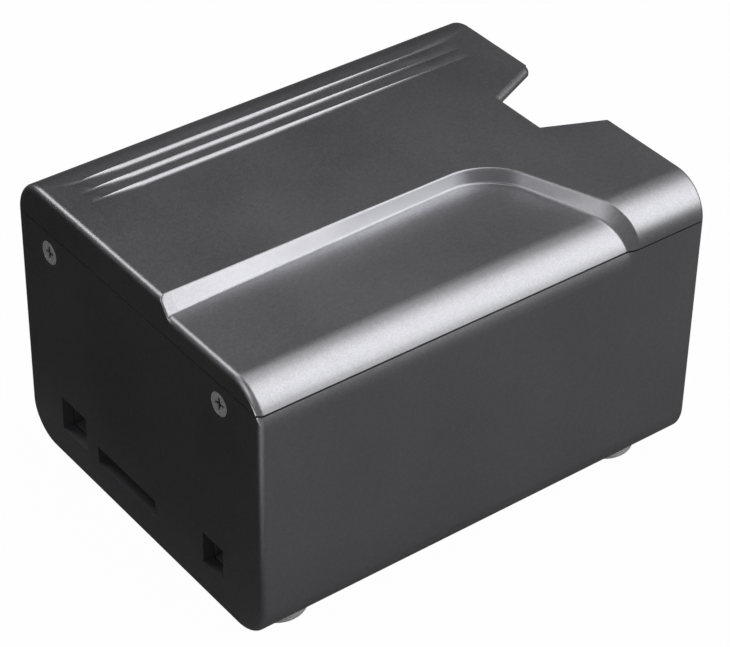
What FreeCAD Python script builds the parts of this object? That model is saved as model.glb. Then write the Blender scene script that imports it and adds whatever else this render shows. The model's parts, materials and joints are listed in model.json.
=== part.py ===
import FreeCAD, Part
import math
import os

# Compact fibre-fed spectrometer, modelled in millimetres.
# The origin lies on the surface that the feet stand on, below the middle of the box.
# +X points to the end with the fibre niche, -X to the end with the ports.
# -Y is the side whose top is stepped down, and +Z is up.

V = FreeCAD.Vector

# Housing and cover, overall
body_length = 100.4
body_width = 78.0
body_height = 60.4
corner_radius = 8.0
housing_wall = 2.4
housing_floor = 2.4
cover_wall = 1.5
cover_height = 8.0
seam_gap = 0.3
port_end_round = 1.3
fibre_end_round = 0.6

# Feet
foot_diameter = 12.0
foot_height = 2.5
foot_inset_x = 10.6
foot_inset_y = 10.9
foot_edge_round = 0.8
foot_recess_depth = 0.8
foot_recess_clearance = 0.15

# Step in the cover
step_depth = 3.0
step_from_near_side = 30.25
step_bend_radius = 12.5
step_bend_from_port_end = 64.0
step_exit_angle = 21.5
ramp_run = 0.5
ramp_splay = 1.65
ramp_exit_angle = 17.5
step_crest_round = 0.4
step_root_round = 0.6

# Grooves in the cover
groove_count = 3
groove_pitch = 3.45
groove_first_from_far_side = 10.2
groove_tool_radius = 0.85
groove_depth = 0.6
groove_start = 6.0
groove_full = 17.0
groove_fade = 44.0
groove_end = 93.0

# Niche for the fibre connector, and the notch in the cover above it
niche_depth = 12.6
niche_width = 44.0
niche_bottom = 16.0
niche_corner_round = 2.5
notch_floor_width = 12.2
notch_mouth_width = 23.3
notch_edge_round = 1.2
notch_corner_round = 2.2

# Ports in the end wall: middle of each from the housing's centre line and underside
data_port_width = 8.6
data_port_height = 7.8
data_port_y = 23.0
data_port_z = 11.15
accessory_port_width = 19.6
accessory_port_height = 3.9
accessory_port_y = 4.95
accessory_port_z = 9.1
power_port_width = 6.4
power_port_height = 7.3
power_port_y = -23.6
power_port_z = 11.05

# Screws that hold the cover
cover_screw_diameter = 2.5
cover_screw_head = 4.7
cover_screw_length = 6.0
cover_screw_below_seam = 4.2
cover_screw_recess_arm = 1.4
cover_screw_recess_blade = 0.35
cover_screw_recess_depth = 1.3
cover_screw_recess_taper = 0.45
port_screw_from_near_side = 12.3
port_screw_from_far_side = 10.8
fibre_screw_from_side = 8.5
screw_clearance = 0.1
thread_clearance = 0.05

# Lip, tabs and seal of the cover
band_height = 2.0
lip_depth = 2.0
lip_wall = 1.6
lip_clearance = 0.2
tab_width = 8.0
tab_thickness = 3.4
tab_below_screw = 3.0
seal_inset = 1.0
seal_width = 1.2

# Circuit board and what stands on it
board_underside = 4.0
board_thickness = 1.6
board_side_gap = 3.6
board_end_gap = 0.6
board_from_fibre_end = 17.0
board_corner_round = 2.0
socket_wall = 1.65
socket_wall_gap = 0.2
data_socket_depth = 16.0
accessory_socket_depth = 12.0
power_socket_depth = 13.5
contact_setback = 8.0

# Chips, coil and capacitors on the board
chip_bevel = 0.25
processor_size = 14.0
processor_height = 1.4
processor_from_port_end = 48.2
processor_y = -4.0
memory_length = 10.0
memory_width = 7.0
memory_height = 1.0
memory_y = 14.0
converter_length = 9.0
converter_width = 6.0
converter_height = 1.2
converter_from_fibre_end = 33.2
converter_y = -17.0
coil_size = 7.0
coil_height = 3.2
coil_from_port_end = 26.2
coil_y = 2.0
capacitor_diameter = 5.2
capacitor_height = 5.4
capacitor_bevel = 0.4
capacitor_pitch = 7.0
capacitor_columns = 2
capacitor_rows = 2
capacitor_from_port_end = 21.2
capacitor_from_near_side = 16.0

# Stack of floor boss, board, spacer and bench
stack_from_side = 10.0
stack_from_port_end = 30.2
stack_near_from_fibre_end = 41.2
stack_far_from_fibre_end = 21.7
boss_diameter = 7.0
spacer_across_flats = 5.5
stack_screw_diameter = 3.0
stack_screw_head = 5.5
stack_screw_head_height = 2.0
stack_screw_length = 8.0

# Optical bench
bench_underside = 19.5
bench_thickness = 4.0
bench_clearance = 0.4
bench_rim_width = 1.2
bench_rim_height = 2.0
optical_axis_height = 36.0

# Fibre connector
connector_thread_diameter = 6.35
connector_bore_diameter = 3.2
connector_nose_length = 9.4
connector_flange_diameter = 12.0
connector_flange_thickness = 2.0
connector_tail_length = 9.6
connector_nut_across_flats = 8.0
connector_nut_thickness = 2.4
connector_washer_diameter = 11.0
connector_washer_thickness = 0.8
connector_fit = 0.1

# Slit
slit_holder_diameter = 11.0
slit_holder_overlap = 3.0
slit_web = 0.9
slit_disc_diameter = 8.0
slit_disc_thickness = 0.3
slit_width = 0.1
slit_height = 2.0
slit_ring_thickness = 1.5
slit_ring_opening = 6.0
slit_aperture = 2.4

# Mirrors and grating
mirror_height = 16.0
mirror_thickness = 5.0
collimating_mirror_width = 16.0
focusing_mirror_width = 20.0
collimating_mirror_from_port_end = 14.7
collimating_mirror_from_far_side = 21.0
focusing_mirror_from_port_end = 16.7
focusing_mirror_from_near_side = 23.0
grating_from_fibre_end = 36.2
grating_from_far_side = 16.0
grating_size = 12.7
grating_thickness = 4.0
grating_normal_angle = 214.0

# Mounts that turn on pins
mount_base_thickness = 3.0
mount_base_reach = 10.0
mount_corner_round = 2.0
mount_frame_wall = 2.4
mount_lip = 0.8
mount_gap = 0.1
optic_clearance = 0.1
pivot_pin_diameter = 4.0
pivot_pin_clearance = 0.03
pivot_pin_depth = 3.0
lock_screw_diameter = 2.5
lock_screw_head = 4.5
lock_screw_head_height = 2.0
lock_screw_depth = 3.0
lock_reach = 6.0
lock_side = 5.5
mirror_swing = 4.0
grating_swing = 8.0
slot_clearance = 0.3
clip_thickness = 0.6
clip_width = 8.0
clip_drop = 6.0
clip_screw_diameter = 2.0
clip_screw_head = 3.6
clip_screw_head_height = 1.2

# Detector
sensor_from_fibre_end = 24.2
sensor_from_near_side = 18.6
sensor_length = 26.0
sensor_height = 9.1
sensor_thickness = 2.8
sensor_window_length = 21.0
sensor_window_height = 4.4
sensor_window_thickness = 0.5
sensor_die_length = 18.0
sensor_die_height = 0.8
bracket_thickness = 3.6
bracket_width = 27.6
bracket_over_axis = 10.5
bracket_foot_length = 6.0
bracket_foot_thickness = 3.0
detector_board_thickness = 1.2
detector_board_half_height = 10.0
detector_screw_side = 9.0
detector_screw_rise = 7.4
detector_boss_diameter = 4.4
lens_length = 22.0
lens_height = 7.0
lens_thickness = 2.4
lens_curve_radius = 5.2
filter_thickness = 1.0
glass_seat = 1.2
small_screw_diameter = 2.0
small_screw_head = 3.8
small_screw_head_height = 1.4

# Baffle and cable
baffle_from_fibre_end = 30.2
baffle_width = 12.0
baffle_thickness = 1.2
baffle_aperture = 8.0
baffle_foot_length = 6.0
cable_width = 10.0
cable_thickness = 0.3
cable_setback = 1.6
cable_socket_width = 12.5
cable_socket_depth = 2.6
cable_socket_height = 3.2
cable_entry = 1.5

# Levels and faces that follow from the sizes above
half_length = body_length / 2
half_width = body_width / 2
underside = foot_height
top_level = underside + body_height
seam_level = top_level - cover_height
cover_bottom = seam_level + seam_gap
port_face = -half_length
fibre_face = half_length
port_wall_inner = port_face + housing_wall
niche_face = fibre_face - niche_depth
niche_inner = niche_face - housing_wall
board_top = underside + board_underside + board_thickness
bench_low = underside + bench_underside
bench_top = bench_low + bench_thickness
axis_level = underside + optical_axis_height
board_port_end = port_wall_inner + board_end_gap
board_fibre_end = fibre_face - board_from_fibre_end
board_half_width = half_width - housing_wall - board_side_gap
processor_x = port_face + processor_from_port_end
converter_x = fibre_face - converter_from_fibre_end
coil_x = port_face + coil_from_port_end
stack_side = half_width - stack_from_side
stack_port_x = port_face + stack_from_port_end
stack_places = ((stack_port_x, -stack_side), (stack_port_x, stack_side),
                (fibre_face - stack_near_from_fibre_end, -stack_side),
                (fibre_face - stack_far_from_fibre_end, stack_side))
screw_level = seam_level - cover_screw_below_seam
port_screw_y = (-half_width + port_screw_from_near_side, half_width - port_screw_from_far_side)
fibre_screw_y = (-half_width + fibre_screw_from_side, half_width - fibre_screw_from_side)
cover_screw_places = ([(-1, y) for y in port_screw_y] + [(1, y) for y in fibre_screw_y])
mount_floor = bench_top + mount_gap
mount_top = mount_floor + mount_base_thickness
optic_top = axis_level + mirror_height / 2
tail_end = niche_face - connector_tail_length
slit_x = tail_end - slit_web - slit_disc_thickness
baffle_x = fibre_face - baffle_from_fibre_end
sensor_x = fibre_face - sensor_from_fibre_end
sensor_y = sensor_from_near_side - half_width
cable_x = sensor_x + sensor_thickness + detector_board_thickness + cable_setback
slit_place = (slit_x, 0.0)
collimating_place = (port_face + collimating_mirror_from_port_end,
                     half_width - collimating_mirror_from_far_side)
grating_place = (fibre_face - grating_from_fibre_end, half_width - grating_from_far_side)
focusing_place = (port_face + focusing_mirror_from_port_end,
                  focusing_mirror_from_near_side - half_width)
sensor_place = (sensor_x, sensor_y)
cut_margin = 1.0


def box(x0, x1, y0, y1, z0, z1):
    """A block between three pairs of planes."""
    return Part.makeBox(x1 - x0, y1 - y0, z1 - z0, V(x0, y0, z0))


def rod(radius, length, base, axis=V(0, 0, 1)):
    """A round bar from a base point."""
    return Part.makeCylinder(radius, length, base, axis)


def moved(shape, x=0.0, y=0.0, z=0.0):
    """A copy of the shape, shifted."""
    copy = shape.copy()
    copy.translate(V(x, y, z))
    return copy


def united(shapes):
    """All the shapes as one, with needless edges taken out."""
    whole = shapes[0]
    for shape in shapes[1:]:
        whole = whole.fuse(shape)
    return whole.removeSplitter()


def edges_where(shape, test):
    """Edges whose both ends and middle pass a test."""
    found = []
    for edge in shape.Edges:
        middle = edge.valueAt((edge.FirstParameter + edge.LastParameter) / 2)
        points = [vertex.Point for vertex in edge.Vertexes] + [middle]
        if all(test(point) for point in points):
            found.append(edge)
    return found


def hexagon(across_flats, length, base, axis_x=False):
    """A hexagonal bar along Z, or along X."""
    radius = across_flats / math.sqrt(3)
    corners = []
    for i in range(7):
        angle = math.radians(60 * i + 30)
        u = radius * math.cos(angle)
        w = radius * math.sin(angle)
        corners.append(base + (V(0, u, w) if axis_x else V(u, w, 0)))
    face = Part.Face(Part.makePolygon(corners))
    return face.extrude(V(length, 0, 0) if axis_x else V(0, 0, length))


def rounded_bar(x0, x1, half, low, high, radius):
    """A bar along X with a rectangular section and four rounded long edges."""
    arcs = []
    centres = ((half - radius, low + radius, -90), (half - radius, high - radius, 0),
               (radius - half, high - radius, 90), (radius - half, low + radius, 180))
    for y, z, start in centres:
        points = []
        for step in (0, 45, 90):
            angle = math.radians(start + step)
            points.append(V(x0, y + radius * math.cos(angle), z + radius * math.sin(angle)))
        arcs.append(Part.Arc(*points).toShape())
    edges = []
    for i, arc in enumerate(arcs):
        following = arcs[(i + 1) % 4]
        edges.append(arc)
        edges.append(Part.LineSegment(arc.Vertexes[-1].Point, following.Vertexes[0].Point).toShape())
    return Part.Face(Part.Wire(edges)).extrude(V(x1 - x0, 0, 0))


def step_path(depth_share):
    """The line of the step in the cover, at a share of its depth below the upper surface.

    It runs in from the port end, bends round towards the near side, and goes over the rounded edge
    down to the seam."""
    radius = step_bend_radius - ramp_run * depth_share
    splay = math.radians(ramp_splay * depth_share)
    leaving = math.radians(step_exit_angle + (ramp_exit_angle - step_exit_angle) * depth_share)
    drop = step_depth * depth_share
    centre_x = port_face + step_bend_from_port_end
    centre_y = -half_width + step_from_near_side - step_bend_radius
    level = top_level - drop
    bend_start = V(centre_x - radius * math.sin(splay), centre_y + radius * math.cos(splay), level)
    start_x = port_face - 4 * cut_margin
    start = V(start_x, bend_start.y - (bend_start.x - start_x) * math.tan(splay), level)
    halfway = (math.pi / 2 + splay + leaving) / 2
    bend_middle = V(centre_x + radius * math.cos(halfway), centre_y + radius * math.sin(halfway), level)
    bend_end = V(centre_x + radius * math.cos(leaving), centre_y + radius * math.sin(leaving), level)

    def on_exit(y, z):
        return V(bend_end.x + (bend_end.y - y) * math.tan(leaving), y, z)

    shoulder_y = corner_radius - half_width
    over_edge = []
    for i in range(7):
        angle = math.pi / 2 * i / 6
        fall = corner_radius * (1 - math.cos(angle))
        over_edge.append(on_exit(shoulder_y - corner_radius * math.sin(angle), level - fall))
    curve = Part.BSplineCurve()
    curve.interpolate(Points=over_edge)
    beyond = on_exit(-half_width - 2 * cut_margin, over_edge[-1].z)
    return Part.Wire([
        Part.LineSegment(start, bend_start).toShape(),
        Part.Arc(bend_start, bend_middle, bend_end).toShape(),
        Part.LineSegment(bend_end, over_edge[0]).toShape(),
        curve.toShape(),
        Part.LineSegment(over_edge[-1], beyond).toShape()])


def outer_body():
    """The closed box with rounded long edges, softened ends and the stepped top."""
    bar = rounded_bar(port_face, fibre_face, half_width, underside, top_level, corner_radius)
    bar = bar.makeFillet(port_end_round, edges_where(bar, lambda p: abs(p.x - port_face) < 1e-6))
    bar = bar.makeFillet(fibre_end_round, edges_where(bar, lambda p: abs(p.x - fibre_face) < 1e-6))
    layer = bar.cut(moved(bar, z=-step_depth))
    wall = Part.makeRuledSurface(step_path(-0.4), step_path(1.4)).Faces
    beside_ramp = wall[0].extrude(V(0, -1.2 * step_bend_radius, 0))
    inside_bend = wall[1].extrude(V(-2.4 * step_bend_radius, -1.1 * step_bend_radius, 0))
    beside_exit = [face.extrude(V(-body_length, 0, 0)) for face in wall[2:]]
    lowered = [layer.common(region) for region in [beside_ramp, inside_bend] + beside_exit]
    return bar.cut(lowered).Solids[0]


def step_edges(cover, share):
    """Edges along the crest (share 0) or the root (share 1) of the step's wall."""
    found = []
    for face in cover.Faces:
        if not isinstance(face.Surface, Part.BSplineSurface):
            continue
        for edge in face.Edges:
            middle = edge.valueAt((edge.FirstParameter + edge.LastParameter) / 2)
            over = min(max(0.0, corner_radius - half_width - middle.y), corner_radius)
            surface = top_level - corner_radius + math.sqrt(corner_radius ** 2 - over ** 2)
            if abs(middle.z - surface + step_depth * share) < 0.05:
                found.append(edge)
    return found


def inner_step_region(offset):
    """The plan of the raised part of the cover, moved in from the step by a wall's thickness."""
    radius = step_bend_radius + offset
    leaving = math.radians(step_exit_angle)
    centre_x = port_face + step_bend_from_port_end
    centre_y = -half_width + step_from_near_side - step_bend_radius
    start = V(port_face - cut_margin, centre_y + radius, 0)
    bend_start = V(centre_x, centre_y + radius, 0)
    halfway = (math.pi / 2 + leaving) / 2
    bend_middle = V(centre_x + radius * math.cos(halfway), centre_y + radius * math.sin(halfway), 0)
    bend_end = V(centre_x + radius * math.cos(leaving), centre_y + radius * math.sin(leaving), 0)
    last_y = -half_width - cut_margin
    last = V(bend_end.x + (bend_end.y - last_y) * math.tan(leaving), last_y, 0)
    far_near = V(fibre_face + cut_margin, last_y, 0)
    far_far = V(fibre_face + cut_margin, half_width + cut_margin, 0)
    port_far = V(port_face - cut_margin, half_width + cut_margin, 0)
    edges = [Part.LineSegment(start, bend_start).toShape(),
             Part.Arc(bend_start, bend_middle, bend_end).toShape()]
    corners = (bend_end, last, far_near, far_far, port_far, start)
    for a, b in zip(corners[:-1], corners[1:]):
        edges.append(Part.LineSegment(a, b).toShape())
    return Part.Face(Part.Wire(edges)).extrude(V(0, 0, top_level + body_height))


def inner_void(wall, floor):
    """The hollow inside the box, with its ceiling stepped as the top is."""
    ends = (port_face + wall, fibre_face - wall)
    radius = corner_radius - wall
    low = underside + floor
    lowered = rounded_bar(*ends, half_width - wall, low, top_level - step_depth - wall, radius)
    raised = rounded_bar(*ends, half_width - wall, low, top_level - wall, radius)
    return lowered.fuse(raised.common(inner_step_region(wall)))


def niche_block(grow, high):
    """The niche at the fibre end, grown by a wall on the sides that close it off."""
    half = niche_width / 2 + grow
    low = underside + niche_bottom - grow
    block = box(niche_face - grow, fibre_face + cut_margin, -half, half, low, high)
    inner = edges_where(block, lambda p: abs(p.x - (niche_face - grow)) < 1e-6)
    upright = [edge for edge in inner if abs(edge.Vertexes[0].Point.z - edge.Vertexes[1].Point.z) > 1]
    return block.makeFillet(niche_corner_round + grow, upright)


def port_cut(y, z, width, height):
    """A rectangular hole through the port end wall."""
    level = underside + z
    return box(port_face - cut_margin, port_wall_inner + cut_margin,
               y - width / 2, y + width / 2, level - height / 2, level + height / 2)


def end_screw(end, y, grow=0.0):
    """A countersunk screw driven in from an end face; end is -1 at the ports, 1 at the fibre.

    With grow it is the hole for such a screw."""
    inward = V(-end, 0, 0)
    face = V(end * half_length, y, screw_level)
    head_radius = cover_screw_head / 2 + grow
    shank_radius = cover_screw_diameter / 2 + grow
    cone_height = head_radius - shank_radius
    head = Part.makeCone(head_radius, shank_radius, cone_height, face, inward)
    shank = rod(shank_radius, cover_screw_length - cone_height, face + inward * cone_height, inward)
    screw = head.fuse(shank)
    if grow:
        return screw.fuse(rod(head_radius, cut_margin, face - inward * cut_margin, inward))
    return screw.removeSplitter()


def cross_recess(end, y):
    """The tapered cross that the driver fits."""
    face_x = end * half_length
    arm = cover_screw_recess_arm
    blade = cover_screw_recess_blade
    tip = cover_screw_recess_taper
    cuts = []
    for wide in ((arm, blade), (blade, arm)):
        outer = [V(face_x, y + a * wide[0], screw_level + b * wide[1])
                 for a, b in ((-1, -1), (1, -1), (1, 1), (-1, 1), (-1, -1))]
        inner = [V(face_x - end * cover_screw_recess_depth, y + a * wide[0] * tip,
                   screw_level + b * wide[1] * tip)
                 for a, b in ((-1, -1), (1, -1), (1, 1), (-1, 1), (-1, -1))]
        cuts.append(Part.makeLoft([Part.makePolygon(outer), Part.makePolygon(inner)], True, True))
    return cuts[0].fuse(cuts[1])


def cover_screws():
    """Four countersunk screws, two in each end."""
    return Part.makeCompound([end_screw(end, y).cut(cross_recess(end, y)) for end, y in cover_screw_places])


def cover_screw_holes():
    """The countersunk holes for the cover's screws."""
    return [end_screw(end, y, screw_clearance) for end, y in cover_screw_places]


def foot_places():
    """Middle of each foot, named by the corner it stands in."""
    x = half_length - foot_inset_x
    y = half_width - foot_inset_y
    return {"foot_port_end_near": (-x, -y), "foot_port_end_far": (-x, y),
            "foot_fibre_end_near": (x, -y), "foot_fibre_end_far": (x, y)}


def foot(x, y):
    """A round foot with a soft lower edge, bonded into a shallow recess."""
    radius = foot_diameter / 2
    disc = rod(radius, foot_height + foot_recess_depth, V(x, y, 0))
    lower = edges_where(disc, lambda p: abs(p.z) < 1e-6)
    return disc.makeFillet(foot_edge_round, lower)


def lower_housing(body):
    """The deep tub with its niche, ports, floor bosses and screw holes."""
    big = 2 * body_length
    tub = body.common(box(-big, big, -big, big, underside - cut_margin, seam_level))
    void = inner_void(housing_wall, housing_floor)
    void = void.cut(niche_block(housing_wall, top_level + cut_margin))
    tub = tub.cut(void).cut(niche_block(0.0, top_level + cut_margin))
    boss_foot = underside + housing_floor / 2
    bosses = [rod(boss_diameter / 2, board_underside - housing_floor / 2, V(x, y, boss_foot))
              for x, y in stack_places]
    tub = tub.fuse(bosses)
    cuts = [rod(stack_screw_diameter / 2 + thread_clearance, board_underside, V(x, y, boss_foot))
            for x, y in stack_places]
    cuts.append(port_cut(data_port_y, data_port_z, data_port_width, data_port_height))
    cuts.append(port_cut(accessory_port_y, accessory_port_z, accessory_port_width, accessory_port_height))
    cuts.append(port_cut(power_port_y, power_port_z, power_port_width, power_port_height))
    cuts.append(rod(connector_thread_diameter / 2 + connector_fit, housing_wall + 2 * cut_margin,
                    V(niche_inner - cut_margin, 0, axis_level), V(1, 0, 0)))
    for x, y in foot_places().values():
        cuts.append(rod(foot_diameter / 2 + foot_recess_clearance, foot_recess_depth + cut_margin,
                        V(x, y, underside - cut_margin)))
    return tub.cut(cuts + cover_screw_holes()).removeSplitter()


def groove(y):
    """A long scoop in the cover that widens quickly and fades out slowly."""
    high = top_level + groove_tool_radius
    low = high - groove_depth
    stations = [V(port_face + groove_start, y, high), V(port_face + groove_full, y, low),
                V(port_face + groove_fade, y, low), V(port_face + groove_end, y, high)]
    parts = []
    for a, b in zip(stations[:-1], stations[1:]):
        parts.append(rod(groove_tool_radius, (b - a).Length, a, b - a))
    for joint in stations[1:-1]:
        parts.append(Part.makeSphere(groove_tool_radius, joint))
    return parts[0].fuse(parts[1:])


def notch_lean():
    """Angle between the notch's side walls and the length of the box, in radians."""
    return math.atan((notch_mouth_width - notch_floor_width) / 2 / niche_depth)


def notch_corner_centre():
    """Middle of the round corner where the notch's far wall meets the end of the cover."""
    lean = notch_lean()
    y = notch_mouth_width / 2 - notch_corner_round * math.tan(lean) + notch_corner_round / math.cos(lean)
    return V(fibre_face - notch_corner_round, y, 0)


def notch():
    """The trapezoid cut from the cover; its far wall has a round corner and a round upper edge."""
    lean = notch_lean()
    centre = notch_corner_centre()
    r = notch_corner_round
    across = V(math.sin(lean), -math.cos(lean), 0)
    halfway = (lean - math.pi / 2) / 2
    floor = notch_floor_width / 2
    mouth = notch_mouth_width / 2
    beyond = 2 * cut_margin
    floor_far = V(niche_face, floor, 0)
    floor_near = V(niche_face, -floor, 0)
    wall_end = centre + across * r
    corner_middle = centre + V(math.cos(halfway), math.sin(halfway), 0) * r
    corner_end = centre + V(r, 0, 0)
    outside_far = corner_end + V(beyond, 0, 0)
    outside_near = V(fibre_face + beyond, -mouth - math.tan(lean) * beyond, 0)
    edges = [Part.LineSegment(floor_near, floor_far).toShape(),
             Part.LineSegment(floor_far, wall_end).toShape(),
             Part.Arc(wall_end, corner_middle, corner_end).toShape(),
             Part.LineSegment(corner_end, outside_far).toShape(),
             Part.LineSegment(outside_far, outside_near).toShape(),
             Part.LineSegment(outside_near, floor_near).toShape()]
    plan = Part.Face(Part.Wire(edges))
    plan.translate(V(0, 0, seam_level))
    return plan.extrude(V(0, 0, cover_height + cut_margin))


def notch_edge_cutters():
    """What is taken off along the notch's far wall and round its corner to leave a round edge."""
    lean = notch_lean()
    centre = notch_corner_centre()
    along = V(-math.cos(lean), -math.sin(lean), 0)
    across = V(math.sin(lean), -math.cos(lean), 0)
    e = notch_edge_round
    low = top_level - e
    high = top_level + cut_margin

    def section(origin, inner):
        """Outside of a quarter round, its flat side at a distance from the origin."""
        def at(distance, level):
            return origin + across * distance + V(0, 0, level)
        top = at(inner - e, top_level)
        middle = at(inner - e + e * math.sin(math.pi / 4), low + e * math.cos(math.pi / 4))
        side = at(inner, low)
        corners = [side, at(inner + cut_margin, low), at(inner + cut_margin, high), at(inner - e, high), top]
        edges = [Part.Arc(top, middle, side).toShape()]
        for a, b in zip(corners[:-1], corners[1:]):
            edges.append(Part.LineSegment(a, b).toShape())
        return Part.Face(Part.Wire(edges))

    run = (notch_mouth_width - notch_floor_width) / 2 / math.sin(lean)
    straight = section(centre, notch_corner_round).extrude(along * run)
    straight = straight.common(box(niche_face, fibre_face, -half_width, half_width, low, high))
    bend = section(centre, notch_corner_round)
    bend = bend.revolve(centre, V(0, 0, 1), 90 - math.degrees(lean))
    return [straight, bend]


def plan_block(inset, niche_grow, low, high):
    """The plan of the box moved in by an inset, less the niche grown by a wall."""
    block = box(port_face + inset, fibre_face - inset, inset - half_width, half_width - inset, low, high)
    return block.cut(niche_block(niche_grow, high + cut_margin))


def ring(outer, inner, niche_outer, niche_inner_wall, low, high):
    """A band that follows the walls of the box and of the niche, between two insets."""
    hole = plan_block(inner, niche_inner_wall, low - cut_margin, high + cut_margin)
    return plan_block(outer, niche_outer, low, high).cut(hole)


def cover_tab(end, y):
    """A lug that hangs inside an end wall and takes a cover screw."""
    near = end * (half_length - housing_wall - lip_clearance)
    deep = near - end * tab_thickness
    low = screw_level - tab_below_screw
    high = cover_bottom + band_height / 2
    tab = box(min(near, deep), max(near, deep), y - tab_width / 2, y + tab_width / 2, low, high)
    lower = edges_where(tab, lambda p: abs(p.z - low) < 1e-6)
    tab = tab.makeFillet(tab_thickness / 3, [edge for edge in lower if edge.Length < tab_width - 0.1])
    hole = rod(cover_screw_diameter / 2 + thread_clearance, tab_thickness + 2 * cut_margin,
               V(near + end * cut_margin, y, screw_level), V(-end, 0, 0))
    return tab, hole


def top_cover(body):
    """The thin stepped cover with its notch, grooves, lip and screw tabs."""
    big = 2 * body_length
    shell = body.common(box(-big, big, -big, big, cover_bottom, top_level + cut_margin)).Solids[0]
    shell = shell.makeFillet(step_root_round, step_edges(shell, 1.0))
    shell = shell.makeFillet(step_crest_round, step_edges(shell, 0.0))
    band_top = cover_bottom + band_height
    band_inset = housing_wall + lip_clearance + lip_wall
    above = box(-big, big, -big, big, band_top, top_level)
    void = inner_void(cover_wall, housing_floor).cut(niche_block(cover_wall, top_level + cut_margin))
    void = void.common(above).fuse(plan_block(band_inset, band_inset, cover_bottom - cut_margin, band_top))
    shell = shell.cut(void).cut(niche_block(0.0, top_level - cover_wall))
    grooves = [groove(half_width - groove_first_from_far_side - i * groove_pitch) for i in range(groove_count)]
    shell = shell.cut(grooves).cut([notch()] + notch_edge_cutters())
    lip = ring(housing_wall + lip_clearance, band_inset, housing_wall + lip_clearance, band_inset,
               seam_level - lip_depth, cover_bottom + band_height / 2)
    lip = lip.common(inner_void(housing_wall + lip_clearance, housing_floor))
    tabs = [cover_tab(end, y) for end, y in cover_screw_places]
    shell = shell.fuse([lip] + [tab for tab, hole in tabs])
    return shell.cut([hole for tab, hole in tabs]).removeSplitter()


def cover_seal():
    """The flat seal in the gap between the cover and the housing."""
    inner = seal_inset + seal_width
    edge = (housing_wall - seal_width) / 2
    return ring(seal_inset, inner, edge, edge + seal_width, seam_level, cover_bottom)


def main_board():
    """The circuit board with its four holes."""
    board = box(board_port_end, board_fibre_end, -board_half_width, board_half_width,
                underside + board_underside, board_top)
    corners = [edge for edge in board.Edges if abs(edge.Length - board_thickness) < 1e-6]
    board = board.makeFillet(board_corner_round, corners)
    return board.cut([rod(stack_screw_diameter / 2 + screw_clearance, 3 * board_thickness,
                          V(x, y, underside + board_underside - board_thickness)) for x, y in stack_places])


def socket(y, z, width, height, depth):
    """A moulded socket behind a port: a deep box whose hollow lines up with the port."""
    level = underside + z
    face = port_wall_inner + socket_wall_gap
    low = board_top
    high = level + height / 2 + socket_wall
    body = box(face, face + depth, y - width / 2 - socket_wall, y + width / 2 + socket_wall, low, high)
    hollow = box(face - cut_margin, face + depth - socket_wall, y - width / 2, y + width / 2,
                 level - height / 2, level + height / 2)
    return body.cut(hollow)


def data_socket():
    """The data socket, with the tongue that carries its contacts far inside."""
    shell = socket(data_port_y, data_port_z, data_port_width, data_port_height, data_socket_depth)
    face = port_wall_inner + socket_wall_gap
    level = underside + data_port_z
    tongue = box(face + contact_setback, face + data_socket_depth - socket_wall / 2,
                 data_port_y - data_port_width / 3, data_port_y + data_port_width / 3,
                 level - data_port_height / 5, level + data_port_height / 5)
    return shell.fuse(tongue).removeSplitter()


def accessory_socket():
    """The wide flat socket for accessories."""
    shell = socket(accessory_port_y, accessory_port_z, accessory_port_width, accessory_port_height,
                   accessory_socket_depth)
    face = port_wall_inner + socket_wall_gap
    level = underside + accessory_port_z
    tongue = box(face + contact_setback, face + accessory_socket_depth - socket_wall / 2,
                 accessory_port_y - accessory_port_width * 0.45, accessory_port_y + accessory_port_width * 0.45,
                 level - accessory_port_height / 6, level + accessory_port_height / 6)
    return shell.fuse(tongue).removeSplitter()


def power_socket():
    """The power socket, with its round centre contact."""
    shell = socket(power_port_y, power_port_z, power_port_width, power_port_height, power_socket_depth)
    face = port_wall_inner + socket_wall_gap
    pin = rod(power_port_width / 8, power_socket_depth - contact_setback - socket_wall / 2,
              V(face + contact_setback, power_port_y, underside + power_port_z), V(1, 0, 0))
    return shell.fuse(pin).removeSplitter()


def chip(x, y, length, width, height):
    """A flat moulded block on the board, with bevelled edges."""
    block = box(x - length / 2, x + length / 2, y - width / 2, y + width / 2, board_top, board_top + height)
    upper = edges_where(block, lambda p: abs(p.z - board_top - height) < 1e-6)
    return block.makeChamfer(chip_bevel, upper)


def board_capacitors():
    """The block of round capacitors behind the power socket."""
    high = board_top + capacitor_height
    parts = []
    for column in range(capacitor_columns):
        for row in range(capacitor_rows):
            x = port_face + capacitor_from_port_end + column * capacitor_pitch
            y = capacitor_from_near_side - half_width + row * capacitor_pitch
            can = rod(capacitor_diameter / 2, capacitor_height, V(x, y, board_top))
            rim = edges_where(can, lambda p: abs(p.z - high) < 1e-6)
            parts.append(can.makeChamfer(capacitor_bevel, rim))
    return Part.makeCompound(parts)


def board_spacers():
    """Hexagonal spacers: each has a stud through the board and a threaded top."""
    stud_bottom = underside + housing_floor
    parts = []
    for x, y in stack_places:
        post = hexagon(spacer_across_flats, bench_low - board_top, V(x, y, board_top))
        stud = rod(stack_screw_diameter / 2, board_top - stud_bottom, V(x, y, stud_bottom))
        hole = rod(stack_screw_diameter / 2 + thread_clearance, stack_screw_length,
                   V(x, y, bench_low - stack_screw_length + bench_thickness - cut_margin))
        parts.append(post.fuse(stud).cut(hole))
    return Part.makeCompound(parts)


def cap_screw(x, y, seat, diameter, length, head, head_height):
    """A cylinder-head screw standing on a seat, with a hexagonal socket."""
    shank = rod(diameter / 2, length, V(x, y, seat - length))
    top = rod(head / 2, head_height, V(x, y, seat))
    upper = edges_where(top, lambda p: abs(p.z - seat - head_height) < 1e-6)
    top = top.makeChamfer(head_height / 8, upper)
    key = hexagon(diameter * 0.8, head_height, V(x, y, seat + head_height / 2))
    return shank.fuse(top).cut(key).removeSplitter()


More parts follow.
